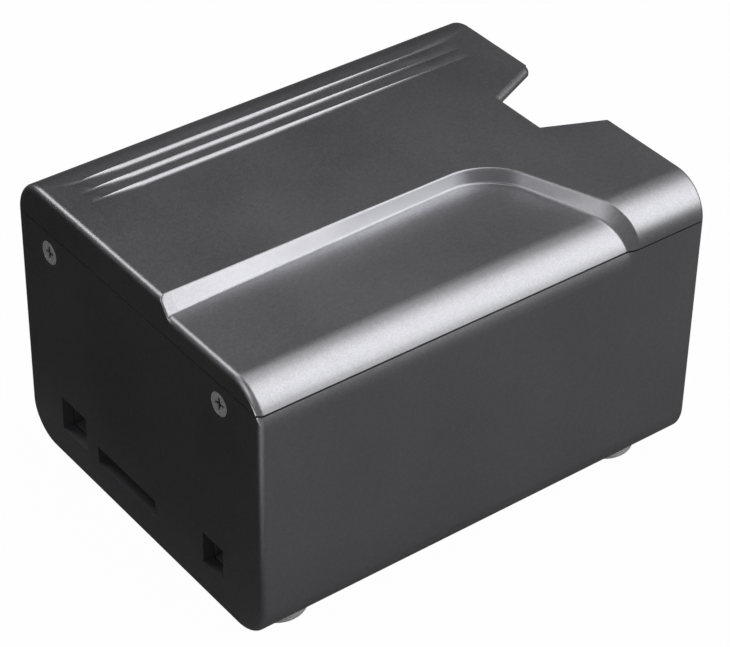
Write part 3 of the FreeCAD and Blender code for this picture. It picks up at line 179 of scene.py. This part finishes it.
class Paint:
    """A material that is being built from nodes."""

    def __init__(self, name, **sockets):
        self.material = bpy.data.materials.new(name)
        self.material.use_nodes = True
        self.tree = self.material.node_tree
        self.tree.nodes.clear()
        self.output = self.tree.nodes.new("ShaderNodeOutputMaterial")
        self.shader = self.tree.nodes.new("ShaderNodeBsdfPrincipled")
        self.tree.links.new(self.shader.outputs["BSDF"], self.output.inputs["Surface"])
        for socket, value in sockets.items():
            self.set(socket.replace("_", " "), value)

    def set(self, name, value):
        """Gives one socket of the shader a number, a colour or a link."""
        socket = self.shader.inputs[name]
        if isinstance(value, Socket):
            self.tree.links.new(value.link, socket)
        else:
            socket.default_value = value

    def node(self, kind, settings=None, inputs=None, output=0):
        """Adds a node, sets it up, feeds its sockets and hands back one output."""
        node = self.tree.nodes.new(kind)
        for key, value in (settings or {}).items():
            if key == "stops":
                ramp = node.color_ramp.elements
                while len(ramp) < len(value):
                    ramp.new(0.5)
                for stop, (place, colour) in zip(ramp, value):
                    stop.position = place
                    stop.color = colour
            else:
                setattr(node, key, value)
        for key, value in (inputs or {}).items():
            if isinstance(value, Socket):
                self.tree.links.new(value.link, node.inputs[key])
            else:
                node.inputs[key].default_value = value
        return Socket(self, node.outputs[output])

    def place(self, scale=(1, 1, 1), turn=(0, 0, 0), centre=(0, 0, 0)):
        """Object coordinates in metres, moved to a centre, then turned and stretched."""
        where = self.node("ShaderNodeTexCoord", output="Object")
        shift = tuple(-c for c in centre)
        where = self.node("ShaderNodeVectorMath", {"operation": "ADD"}, dict(enumerate((where, shift))))
        return self.node("ShaderNodeMapping", {}, {"Vector": where, "Rotation": turn, "Scale": scale})

    def noise(self, size, detail=2.0, rough=0.5, stretch=(1, 1, 1)):
        """Noise whose blots are about this many metres across."""
        return self.node("ShaderNodeTexNoise", {}, {"Vector": self.place(stretch), "Scale": 1.0 / size,
                                                    "Detail": detail, "Roughness": rough})

    def mix(self, factor, first, second):
        """Blend of two colours."""
        return self.node("ShaderNodeMix", {"data_type": "RGBA"},
                         {MIX_FACTOR: factor, MIX_FIRST: first, MIX_SECOND: second}, MIX_RESULT)

    def spread(self, value, low, high, start, end):
        """Takes a value from the range low to high to the range start to end, held at both ends."""
        return self.node("ShaderNodeMapRange", {}, dict(enumerate((value, low, high, start, end))))

    def bump(self, height, strength, depth, under=None):
        """Turns a height into a bumpy normal, on top of another if one is given."""
        inputs = {"Height": height, "Strength": strength, "Distance": depth}
        if under is not None:
            inputs["Normal"] = under
        return self.node("ShaderNodeBump", {}, inputs)

    def axis(self, name, centre=(0, 0, 0), turn=(0, 0, 0)):
        """One object coordinate as a number."""
        where = self.place(turn=turn, centre=centre)
        return self.node("ShaderNodeSeparateXYZ", {}, {"Vector": where}, name)


def rgba(colour, share=1.0):
    """A colour with alpha, made lighter or darker by a share."""
    return tuple(min(1.0, c * share) for c in colour[:3]) + (1.0,)


# Finishes

def painted_ramp_highlight(paint, base, colour):
    """Painted highlight: a lighter colour along the steep part of the step's ramp, which fades out past the
    bend.
    """
    normal = paint.node("ShaderNodeNewGeometry", output="Normal")
    upright = paint.node("ShaderNodeSeparateXYZ", {}, {"Vector": normal}, "Z")
    highlight_mask = paint.spread(upright, *HIGHLIGHT_UPRIGHT, 1.0, 0.0) * paint.spread(paint.axis("X"), *HIGHLIGHT_FADE, 1.0, 0.0)
    for name, low, high in HIGHLIGHT_BOX:
        place = paint.axis(name)
        highlight_mask = highlight_mask * (place > low) * (place < high)
    return paint.mix(highlight_mask, base, rgba(colour, HIGHLIGHT_SHARE))


def anodised(name, colour, rough, grain, metal=1.0, ramp=False):
    """Bead-blasted and anodised aluminium: a fine grain, faint clouds in the dye and small rub marks; with
    ramp set, also a painted highlight on the step's ramp.
    """
    paint = Paint(name, Specular_IOR_Level=0.5, IOR=1.5)
    fine = paint.noise(grain, 3.0, 0.6)
    coarse = paint.noise(grain * 3.5, 2.0, 0.5)
    cloud = paint.noise(0.03, 3.0, 0.55)
    rub = paint.noise(0.0016, 4.0, 0.7, (1, 6, 6))
    base = paint.mix(paint.spread(cloud, *NOISE_SPAN, 0.0, 1.0), rgba(colour, 0.94), rgba(colour, 1.06))
    base = paint.mix(paint.spread(fine, *NOISE_CORE, 0.0, 0.55), base, rgba(colour, 1.45))
    base = paint.mix(paint.spread(coarse, 0.4, 0.7, 0.0, 0.16), base, rgba(colour, 0.7))
    # With ramp set, a painted highlight lightens the steep part of the step's ramp.
    if ramp:
        base = painted_ramp_highlight(paint, base, colour)
    paint.set("Base Color", base)
    paint.set("Metallic", metal)
    worn = paint.spread(rub, 0.62, 0.75, 0.0, 0.05)
    paint.set("Roughness", paint.spread(cloud, *NOISE_SPAN, rough - 0.02, rough + 0.02) - worn
              + paint.spread(fine, *NOISE_SPAN, -0.03, 0.03))
    paint.set("Normal", paint.bump(coarse, 0.08, GRAIN_DEPTH * 1.2, paint.bump(fine, 0.4, GRAIN_DEPTH)))
    return paint.material


def rubber(name, colour):
    """Moulded rubber with a dull skin and a little dust."""
    paint = Paint(name, Specular_IOR_Level=0.3)
    skin = paint.noise(0.0003, 3.0, 0.6)
    dust = paint.noise(0.004, 4.0, 0.6)
    base = paint.mix(paint.spread(dust, 0.45, 0.75, 0.0, 0.5), rgba(colour), rgba(colour, 1.25))
    paint.set("Base Color", paint.mix(paint.spread(skin, 0.4, 0.7, 0.0, 0.3), base, rgba(colour, 0.8)))
    paint.set("Roughness", paint.spread(dust, *NOISE_SPAN, 0.62, 0.78))
    paint.set("Normal", paint.bump(skin, 0.3, 0.00005))
    return paint.material


def turned_metal(name, colour, rough, stretch=MARKS_X):
    """Machined metal with fine tool marks across one direction and a few darker spots."""
    paint = Paint(name, Metallic=1.0)
    marks = paint.noise(0.006, 3.0, 0.6, stretch)
    spots = paint.noise(0.0009, 3.0, 0.6)
    base = paint.mix(paint.spread(marks, *NOISE_CORE, 0.0, 1.0), rgba(colour, 0.85), rgba(colour, 1.08))
    paint.set("Base Color", paint.mix(paint.spread(spots, 0.6, 0.75, 0.0, 0.35), base, rgba(colour, 0.6)))
    paint.set("Roughness", paint.spread(marks, *NOISE_SPAN, rough - 0.06, rough + 0.08))
    paint.set("Normal", paint.bump(marks, 0.2, 0.00002))
    return paint.material


def plated_head(name, colour, face):
    """Speckled plating on screw heads that look along X, with painted shade in the drive recess behind the
    face.
    """
    paint = Paint(name, Specular_IOR_Level=0.4)
    grit = paint.noise(0.0002, 3.0, 0.6)
    across = paint.axis("X")
    recess_shade = paint.spread(across * across, (face - RECESS_SHADE_END) ** 2, (face - RECESS_SHADE_START) ** 2, 1.0, 0.0)
    base = paint.mix(paint.spread(grit, *NOISE_CORE, 0.0, 1.0), rgba(colour, 0.7), rgba(colour, 1.3))
    # Painted shade: the drive recess behind the face turns dark.
    paint.set("Base Color", paint.mix(recess_shade, base, rgba(colour, 0.1)))
    paint.set("Metallic", 0.25)
    paint.set("Roughness", paint.spread(grit, *NOISE_SPAN, 0.5, 0.62))
    paint.set("Normal", paint.bump(grit, 0.2, 0.00002))
    return paint.material


def moulded(name, colour, rough):
    """Moulded plastic or ceramic with a fine spark-eroded skin."""
    paint = Paint(name, Specular_IOR_Level=0.5)
    skin = paint.noise(0.0002, 2.0, 0.6)
    flow = paint.noise(0.006, 3.0, 0.5, (1, 1, 2))
    paint.set("Base Color", paint.mix(paint.spread(flow, *NOISE_CORE, 0.0, 1.0), rgba(colour, 0.85),
                                      rgba(colour, 1.15)))
    paint.set("Roughness", paint.spread(skin, *NOISE_SPAN, rough - 0.06, rough + 0.06))
    paint.set("Normal", paint.bump(skin, 0.3, 0.00004))
    return paint.material


def chip_resin(name, colour):
    """Black epoxy with a matt skin and a fine web of lighter lines between its grains."""
    paint = Paint(name, Specular_IOR_Level=0.4)
    skin = paint.noise(0.00015, 2.0, 0.6)
    web = paint.node("ShaderNodeTexVoronoi", {"feature": "DISTANCE_TO_EDGE"},
                     {"Vector": paint.place(), "Scale": 700.0})
    paint.set("Base Color", paint.mix(paint.spread(web, 0.0, 0.05, 0.25, 0.0), rgba(colour),
                                      rgba(colour, 2.2)))
    paint.set("Roughness", paint.spread(skin, *NOISE_SPAN, 0.45, 0.6))
    paint.set("Normal", paint.bump(skin, 0.35, 0.00003))
    return paint.material


def solder_mask(name, colour):
    """Green lacquer with scattered tinned pads."""
    pads_a_metre = 330.0
    paint = Paint(name, Specular_IOR_Level=0.5)
    dots = paint.node("ShaderNodeTexVoronoi", {"feature": "F1"},
                      {"Vector": paint.place(), "Scale": pads_a_metre})
    pad = (dots < 0.17) * 1.0
    paint.set("Base Color", paint.mix(pad, rgba(colour), (0.72, 0.7, 0.62, 1.0)))
    paint.set("Metallic", pad)
    paint.set("Roughness", 0.32 + pad * 0.06)
    return paint.material


def polished_mirror(name, colour):
    """Aluminised glass with a breath of dust."""
    paint = Paint(name)
    dust = paint.noise(0.0008, 4.0, 0.7)
    haze = paint.noise(0.01, 2.0, 0.5)
    paint.set("Base Color", paint.mix(paint.spread(haze, *NOISE_SPAN, 0.0, 1.0), rgba(colour, 0.94),
                                      rgba(colour, 1.02)))
    paint.set("Metallic", 1.0)
    paint.set("Roughness", paint.spread(dust, 0.55, 0.8, 0.03, 0.14))
    paint.set("Normal", paint.bump(dust, 0.05, 0.000005))
    return paint.material


def ruled_mirror(name, centre):
    """Aluminised plate with fine upright rulings and a faint painted sheen of diffraction colours across it.
    """
    paint = Paint(name)
    side = paint.axis("Y", centre, (0, 0, -GRATING_FACING))
    # Painted sheen: a fixed band of diffraction colours across the face.
    sheen_bands = paint.node("ShaderNodeValToRGB", {"stops": GRATING_SHEEN_COLOURS},
                       {"Fac": paint.spread(side, -GRATING_HALF, GRATING_HALF, 0.0, 1.0)})
    lines = (side * GRATING_RULINGS).fraction()
    paint.set("Base Color", paint.mix(0.45, (0.8, 0.8, 0.83, 1.0), sheen_bands))
    paint.set("Metallic", 1.0)
    paint.set("Roughness", paint.spread(paint.noise(0.002), *NOISE_SPAN, 0.1, 0.18))
    paint.set("Normal", paint.bump(lines, 0.2, 0.00001))
    return paint.material


def clear_glass(name, colour, alpha):
    """Polished glass with a thin film of dust."""
    paint = Paint(name, Transmission_Weight=0.9, IOR=1.52)
    dust = paint.noise(0.001, 4.0, 0.7)
    film = (0.5, 0.8)
    paint.set("Base Color", paint.mix(paint.spread(dust, *film, 0.0, 0.25), rgba(colour),
                                      (0.8, 0.8, 0.8, 1.0)))
    paint.set("Roughness", paint.spread(dust, *film, 0.02, 0.12))
    paint.set("Alpha", paint.spread(dust, *film, alpha, min(1.0, alpha + 0.1)))
    return paint.material


def silicon(name):
    """Polished silicon with fine stripes of pixels across it."""
    pixels_a_metre = 20000.0
    paint = Paint(name)
    pixels = ((paint.axis("Y") * pixels_a_metre).fraction() < 0.3) * 1.0
    tint = paint.noise(0.004)
    base = paint.mix(paint.spread(tint, *NOISE_SPAN, 0.0, 1.0), (0.12, 0.1, 0.24, 1), (0.2, 0.2, 0.34, 1))
    paint.set("Base Color", paint.mix(pixels, base, (0.4, 0.36, 0.3, 1.0)))
    paint.set("Metallic", 0.9)
    paint.set("Roughness", paint.spread(tint, *NOISE_SPAN, 0.12, 0.2))
    return paint.material


def striped_film(name):
    """Pale cable film over flat tinned wires."""
    wires_a_metre = 1000.0
    paint = Paint(name, Specular_IOR_Level=0.5)
    wire = ((paint.axis("Y") * wires_a_metre).fraction() < 0.55) * 1.0
    haze = paint.noise(0.003)
    base = paint.mix(wire, (0.62, 0.6, 0.52, 1.0), (0.78, 0.77, 0.74, 1.0))
    paint.set("Base Color", paint.mix(paint.spread(haze, *NOISE_SPAN, 0.0, 0.3), base, (0.5, 0.48, 0.4, 1)))
    paint.set("Roughness", paint.spread(haze, *NOISE_SPAN, 0.35, 0.5))
    paint.set("Normal", paint.bump(wire, 0.3, 0.00004))
    return paint.material


# Help for the pieces

def dress(material, *names):
    """Gives CAD nodes their finish."""
    for name in names:
        mesh = frame["nodes"][name].data
        mesh.materials.clear()
        mesh.materials.append(material)


def deselect():
    """Leaves nothing selected."""
    if bpy.context.object and bpy.context.object.mode != "OBJECT":
        bpy.ops.object.mode_set(mode="OBJECT")
    bpy.ops.object.select_all(action="DESELECT")


def cut_thread(piece):
    """Turns the plain nose of the fibre connector into a row of thread ridges."""
    low = Vector(piece.bound_box[0])
    high = Vector(piece.bound_box[6])
    centre = Vector((0.0, (low.y + high.y) / 2, (low.z + high.z) / 2))
    start = high.x - NOSE_THREAD
    half = THREAD_PITCH / 2
    last = 2 * int((NOSE_THREAD - NOSE_TIP) / THREAD_PITCH)
    bpy.ops.object.mode_set(mode="EDIT")
    bpy.ops.mesh.select_mode(type="VERT")
    for step in range(last + 1):
        bpy.ops.mesh.select_all(action="SELECT")
        bpy.ops.mesh.bisect(plane_co=(start + step * half, 0, 0), plane_no=(1, 0, 0))
    bpy.ops.mesh.select_all(action="DESELECT")
    bpy.ops.object.mode_set(mode="OBJECT")
    for vertex in piece.data.vertices:
        step = (vertex.co.x - start) / half
        out = (Vector((0.0, vertex.co.y, vertex.co.z)) - centre).length
        root = 0 < step < last and round(step) % 2 == 1 and abs(step - round(step)) < ON_PLANE
        vertex.select = root and out > NOSE_RADIUS - NOSE_SURFACE
    bpy.ops.object.mode_set(mode="EDIT")
    share = 1.0 - THREAD_DEPTH / NOSE_RADIUS
    bpy.ops.transform.resize(value=(1.0, share, share), center_override=centre)
    bpy.ops.object.mode_set(mode="OBJECT")


def smooth_skin(node, name, material, shape=None):
    """A node's form with its edges welded and its curves shaded smooth, in place of the faceted one.
    A shape function, if one is given, changes the welded mesh before it is shaded."""
    deselect()
    mesh = frame["nodes"][node].data.copy()
    piece = bpy.data.objects.new(name, mesh)
    bpy.context.scene.collection.objects.link(piece)
    piece.select_set(True)
    bpy.context.view_layer.objects.active = piece
    if mesh.has_custom_normals:
        bpy.ops.mesh.customdata_custom_splitnormals_clear()
    bpy.ops.object.mode_set(mode="EDIT")
    bpy.ops.mesh.select_all(action="SELECT")
    bpy.ops.mesh.remove_doubles(threshold=WELD)
    bpy.ops.object.mode_set(mode="OBJECT")
    if shape:
        shape(piece)
    bpy.ops.object.shade_smooth_by_angle(angle=SMOOTH_ANGLE)
    weighted = piece.modifiers.new("Even shading", "WEIGHTED_NORMAL")
    weighted.keep_sharp = True
    bpy.ops.object.modifier_apply(modifier=weighted.name)
    bpy.ops.object.transform_apply(location=True, rotation=True, scale=True)
    piece.data.materials.clear()
    piece.data.materials.append(material)
    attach(piece, "housing")
    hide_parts(node)


# Settings

class CaseSettings(bpy.types.PropertyGroup):
    """Look of the box."""

    colour: bpy.props.FloatVectorProperty(name="Case colour", description="Colour of the anodised case",
                                          subtype="COLOR", size=3, min=0, max=1,
                                          default=(0.405, 0.405, 0.427))
    rough: bpy.props.FloatProperty(name="Case roughness", description="Roughness of the anodised case",
                                   default=0.40, min=0.05, max=1.0, subtype="FACTOR")
    grain: bpy.props.FloatProperty(name="Grain", description="Size of the blasted grain",
                                   default=0.0003, min=0.00005, max=0.002, unit="LENGTH")
    feet: bpy.props.FloatVectorProperty(name="Feet colour", description="Colour of the rubber feet",
                                        subtype="COLOR", size=3, min=0, max=1,
                                        default=(0.5, 0.5, 0.505))


class StageSettings(bpy.types.PropertyGroup):
    """Look of the studio."""

    floor: bpy.props.FloatProperty(name="Floor size", description="Side of the floor", default=6.0, min=1.0,
                                   unit="LENGTH")
    key: bpy.props.FloatProperty(name="Key light", description="Power of the tall soft light", default=6.7,
                                 min=0.0, unit="POWER")
    upper: bpy.props.FloatProperty(name="Upper light", description="Power of the small light overhead",
                                   default=1.25, min=0.0, unit="POWER")
    side: bpy.props.FloatProperty(name="Side light", description="Power of the light at the port end",
                                  default=1.8, min=0.0, unit="POWER")
    back: bpy.props.FloatProperty(name="Back light", description="Power of the light behind the port end",
                                  default=1.5, min=0.0, unit="POWER")
    front: bpy.props.FloatProperty(name="Front light", description="Power of the light at the camera",
                                   default=0.5, min=0.0, unit="POWER")
    sky: bpy.props.FloatProperty(name="Room light", description="Brightness of the room", default=0.06,
                                 min=0.0, max=2.0)


# Operators

class SPECTROMETER_OT_case(bpy.types.Operator):
    """Finish the two shells of the case and the seal between them"""

    bl_idname = "spectrometer.case"
    bl_label = "Case"

    def execute(self, context):
        look = context.scene.spectrometer_case
        shell = anodised("case_anodised", look.colour, look.rough, look.grain)
        smooth_skin("lower_housing", "housing_skin", shell)
        # The cover's finish carries a painted highlight on the step's ramp.
        cover = anodised("cover_anodised", look.colour, look.rough, look.grain, ramp=True)
        smooth_skin("top_cover", "cover_skin", cover)
        dress(rubber("seal_rubber", (0.02, 0.02, 0.022)), "cover_seal")
        return {"FINISHED"}


class SPECTROMETER_OT_feet(bpy.types.Operator):
    """Finish the four rubber feet"""

    bl_idname = "spectrometer.feet"
    bl_label = "Feet"

    def execute(self, context):
        skin = rubber("foot_rubber", context.scene.spectrometer_case.feet)
        for node in sorted(n for n in frame["nodes"] if n.startswith("foot_")):
            smooth_skin(node, node + "_skin", skin)
        return {"FINISHED"}


class SPECTROMETER_OT_screws(bpy.types.Operator):
    """Finish the screws, pins and spacers"""

    bl_idname = "spectrometer.screws"
    bl_label = "Screws"

    def execute(self, context):
        dress(turned_metal("screw_steel", (0.2, 0.2, 0.21), 0.34), "bench_screws", "mount_lock_screws",
              "bracket_screws", "detector_screws", "baffle_screw", "grating_clip_screw",
              "collimating_clip_screw", "focusing_clip_screw")
        face = max(corner[0] for corner in frame["nodes"]["cover_screws"].bound_box)
        # The cover screw heads carry painted shade in their drive recesses.
        heads = plated_head("cover_screw_steel", (0.29, 0.29, 0.29), face)
        smooth_skin("cover_screws", "cover_screw_skin", heads)
        dress(turned_metal("pin_steel", (0.6, 0.6, 0.61), 0.2, MARKS_Z), "grating_pivot_pin",
              "collimating_pivot_pin", "focusing_pivot_pin")
        dress(turned_metal("spacer_brass", (0.72, 0.53, 0.24), 0.3, MARKS_Z), "board_spacers")
        return {"FINISHED"}


class SPECTROMETER_OT_ports(bpy.types.Operator):
    """Finish the three sockets behind the port end and the two cable sockets"""

    bl_idname = "spectrometer.ports"
    bl_label = "Ports"

    def execute(self, context):
        dress(moulded("socket_plastic", (0.11, 0.11, 0.113), 0.5), "data_socket", "accessory_socket",
              "power_socket", "board_cable_socket", "detector_cable_socket")
        return {"FINISHED"}


class SPECTROMETER_OT_connector(bpy.types.Operator):
    """Finish the fibre connector, the slit and baffle behind it, and the black bench and mounts"""

    bl_idname = "spectrometer.connector"
    bl_label = "Fibre connector and bench"

    def execute(self, context):
        plated = turned_metal("plated_brass", (0.66, 0.64, 0.6), 0.24)
        smooth_skin("fibre_connector", "fibre_connector_skin", plated, shape=cut_thread)
        dress(plated, "fibre_connector_washer", "fibre_connector_nut")
        dress(anodised("black_anodised", (0.03, 0.03, 0.033), 0.45, 0.0002, metal=0.5), "slit_holder",
              "slit_ring", "entrance_baffle", "optical_bench", "detector_bracket", "grating_mount",
              "collimating_mount", "focusing_mount")
        dress(turned_metal("slit_foil", (0.35, 0.35, 0.36), 0.3, MARKS_Y), "entrance_slit")
        return {"FINISHED"}


class SPECTROMETER_OT_optics(bpy.types.Operator):
    """Finish the mirrors, the grating, their clips, the lens, the filter and the sensor"""

    bl_idname = "spectrometer.optics"
    bl_label = "Optics"

    def execute(self, context):
        dress(polished_mirror("mirror_coating", (0.88, 0.88, 0.89)), "collimating_mirror", "focusing_mirror")
        turn = next(j for j in frame["joints"] if j["child"] == "grating_turn")
        dress(ruled_mirror("grating_face", tuple(turn["pos_m"])), "diffraction_grating")
        dress(clear_glass("clear_glass", (0.92, 0.95, 0.97), 0.35), "collection_lens", "sensor_window")
        dress(clear_glass("filter_glass", (0.85, 0.55, 0.3), 0.5), "order_filter")
        dress(turned_metal("spring_steel", (0.55, 0.55, 0.56), 0.28, MARKS_YZ), "grating_clip",
              "collimating_clip", "focusing_clip")
        dress(moulded("sensor_ceramic", (0.03, 0.026, 0.03), 0.6), "image_sensor")
        dress(silicon("sensor_silicon"), "sensor_chip")
        return {"FINISHED"}


class SPECTROMETER_OT_electronics(bpy.types.Operator):
    """Finish the circuit boards, what stands on them and the flat cable"""

    bl_idname = "spectrometer.electronics"
    bl_label = "Electronics"

    def execute(self, context):
        green = (0.012, 0.09, 0.04)
        dress(solder_mask("main_board_mask", green), "main_board")
        dress(solder_mask("detector_board_mask", green), "detector_board")
        dress(chip_resin("chip_epoxy", (0.015, 0.015, 0.017)), "processor_chip", "memory_chip",
              "converter_chip", "power_coil")
        dress(turned_metal("can_aluminium", (0.7, 0.7, 0.72), 0.3, MARKS_Z), "board_capacitors")
        dress(striped_film("cable_film"), "flat_cable")
        return {"FINISHED"}


class SPECTROMETER_OT_stage(bpy.types.Operator):
    """Set up the floor, the lights, the room and the camera"""

    bl_idname = "spectrometer.stage"
    bl_label = "Studio"

    def execute(self, context):
        look = context.scene.spectrometer_stage
        self.floor(look)
        self.lights(look)
        self.room(look)
        self.camera(context)
        context.scene.view_settings.view_transform = "Standard"
        return {"FINISHED"}

    def floor(self, look):
        """White paper, which looks darker in what the case reflects of it: painted shade in reflections past
        the port end, and a lighter patch in front of the corner that is a painted highlight in that corner's
        reflection.
        """
        deselect()
        bpy.ops.mesh.primitive_plane_add(size=look.floor, location=(0, 0, 0))
        floor = bpy.context.object
        floor.name = "floor"
        paint = Paint("floor_paper", Specular_IOR_Level=0.1)
        paint.set("Base Color", paint.mix(paint.noise(0.2), (0.8, 0.8, 0.8, 1), (0.84, 0.84, 0.84, 1)))
        paint.set("Roughness", 0.9)
        seen = paint.node("ShaderNodeLightPath", output="Is Camera Ray")
        glossy = paint.node("ShaderNodeLightPath", output="Is Glossy Ray")
        through = paint.node("ShaderNodeLightPath", output="Is Transmission Ray")
        along = paint.axis("X")
        # Lighter patch in front of the corner: a painted highlight in the corner's reflection.
        corner = (paint.spread(along, *CORNER_X, 1.0, 0.0)
                  * paint.spread(paint.axis("Y"), *CORNER_Y, 1.0, 0.0))
        # Darker in reflections past the port end: painted shade.
        reflected_shade = paint.spread(along, *PORT_END_EDGE, PORT_END_REFLECTED_SHADE, REFLECTED_DARK) - corner * CORNER_PAINTED_HIGHLIGHT
        share = (seen * SEEN_WHITE + glossy * reflected_shade + through * THROUGH_WHITE).clamped()
        white = paint.node("ShaderNodeEmission", {}, {"Color": (1, 1, 1, 1), "Strength": seen})
        base = Socket(paint, paint.shader.outputs["BSDF"])
        mixed = paint.node("ShaderNodeMixShader", {}, dict(enumerate((share, base, white))))
        paint.tree.links.new(mixed.link, paint.output.inputs["Surface"])
        floor.data.materials.append(paint.material)

    def lights(self, look):
        """A tall soft light at the near side, small ones overhead, at the port end and behind it, and a
        wide one at the camera."""
        for name, place, width, height in LAMPS:
            lamp = bpy.data.lights.new(name + "_light", "AREA")
            lamp.shape = "RECTANGLE"
            lamp.size = width
            lamp.size_y = height
            lamp.energy = getattr(look, name)
            light = bpy.data.objects.new(lamp.name, lamp)
            light.location = place
            aim = Vector(LAMP_AIM) - Vector(place)
            light.rotation_euler = aim.to_track_quat("-Z", "Y").to_euler()
            bpy.context.scene.collection.objects.link(light)

    def room(self, look):
        """A dim even room that the camera sees as white."""
        world = bpy.data.worlds.new("room")
        world.use_nodes = True
        tree = world.node_tree
        back = tree.nodes["Background"]
        ray = tree.nodes.new("ShaderNodeLightPath")
        level = tree.nodes.new("ShaderNodeMapRange")
        tree.links.new(ray.outputs["Is Camera Ray"], level.inputs["Value"])
        level.inputs["To Min"].default_value = look.sky
        level.inputs["To Max"].default_value = 1.0
        tree.links.new(level.outputs["Result"], back.inputs["Strength"])
        back.inputs["Color"].default_value = (1, 1, 1, 1)
        bpy.context.scene.world = world

    def camera(self, context):
        """Camera at the photograph's place, turned a degree about its own axis."""
        data = bpy.data.cameras.new("camera")
        data.sensor_width = SENSOR_WIDTH
        data.lens = FOCAL_PIXELS / PHOTO_WIDTH * SENSOR_WIDTH
        data.clip_start = CLIP_START
        data.clip_end = CLIP_END
        camera = bpy.data.objects.new("camera", data)
        context.scene.collection.objects.link(camera)
        level = math.cos(CAMERA_RISE)
        back = Vector((math.sin(CAMERA_AZIMUTH) * level, -math.cos(CAMERA_AZIMUTH) * level,
                       math.sin(CAMERA_RISE)))
        right = Vector((math.cos(CAMERA_AZIMUTH), math.sin(CAMERA_AZIMUTH), 0.0))
        up = back.cross(right)
        across = right * math.cos(CAMERA_ROLL) + up * math.sin(CAMERA_ROLL)
        upright = up * math.cos(CAMERA_ROLL) - right * math.sin(CAMERA_ROLL)
        place = CAMERA_AIM + back * CAMERA_DISTANCE * MM
        turn = Matrix((across, upright, back)).transposed().to_4x4()
        camera.matrix_world = Matrix.Translation(place) @ turn
        context.scene.camera = camera


class SPECTROMETER_PT_panel(bpy.types.Panel):
    """Lists the steps and their settings"""

    bl_idname = "SPECTROMETER_PT_panel"
    bl_label = "Spectrometer"
    bl_space_type = "VIEW_3D"
    bl_region_type = "UI"
    bl_category = "Spectrometer"

    def draw(self, context):
        for step in STEPS:
            self.layout.operator(step.bl_idname)
        for settings in (context.scene.spectrometer_case, context.scene.spectrometer_stage):
            for name in settings.__annotations__:
                self.layout.prop(settings, name)


STEPS = (SPECTROMETER_OT_case, SPECTROMETER_OT_feet, SPECTROMETER_OT_screws, SPECTROMETER_OT_ports,
         SPECTROMETER_OT_connector, SPECTROMETER_OT_optics, SPECTROMETER_OT_electronics,
         SPECTROMETER_OT_stage)
CLASSES = (CaseSettings, StageSettings) + STEPS + (SPECTROMETER_PT_panel,)


def register():
    """Registers the classes and hangs the settings on the scene."""
    for item in CLASSES:
        bpy.utils.register_class(item)
    bpy.types.Scene.spectrometer_case = bpy.props.PointerProperty(type=CaseSettings)
    bpy.types.Scene.spectrometer_stage = bpy.props.PointerProperty(type=StageSettings)


def unregister():
    """Takes the settings and the classes away again."""
    del bpy.types.Scene.spectrometer_stage
    del bpy.types.Scene.spectrometer_case
    for item in reversed(CLASSES):
        bpy.utils.unregister_class(item)


def main():
    """Runs every step in order."""
    register()
    bpy.ops.spectrometer.case()
    bpy.ops.spectrometer.feet()
    bpy.ops.spectrometer.screws()
    bpy.ops.spectrometer.ports()
    bpy.ops.spectrometer.connector()
    bpy.ops.spectrometer.optics()
    bpy.ops.spectrometer.electronics()
    bpy.ops.spectrometer.stage()


if __name__ == "__main__":
    main()
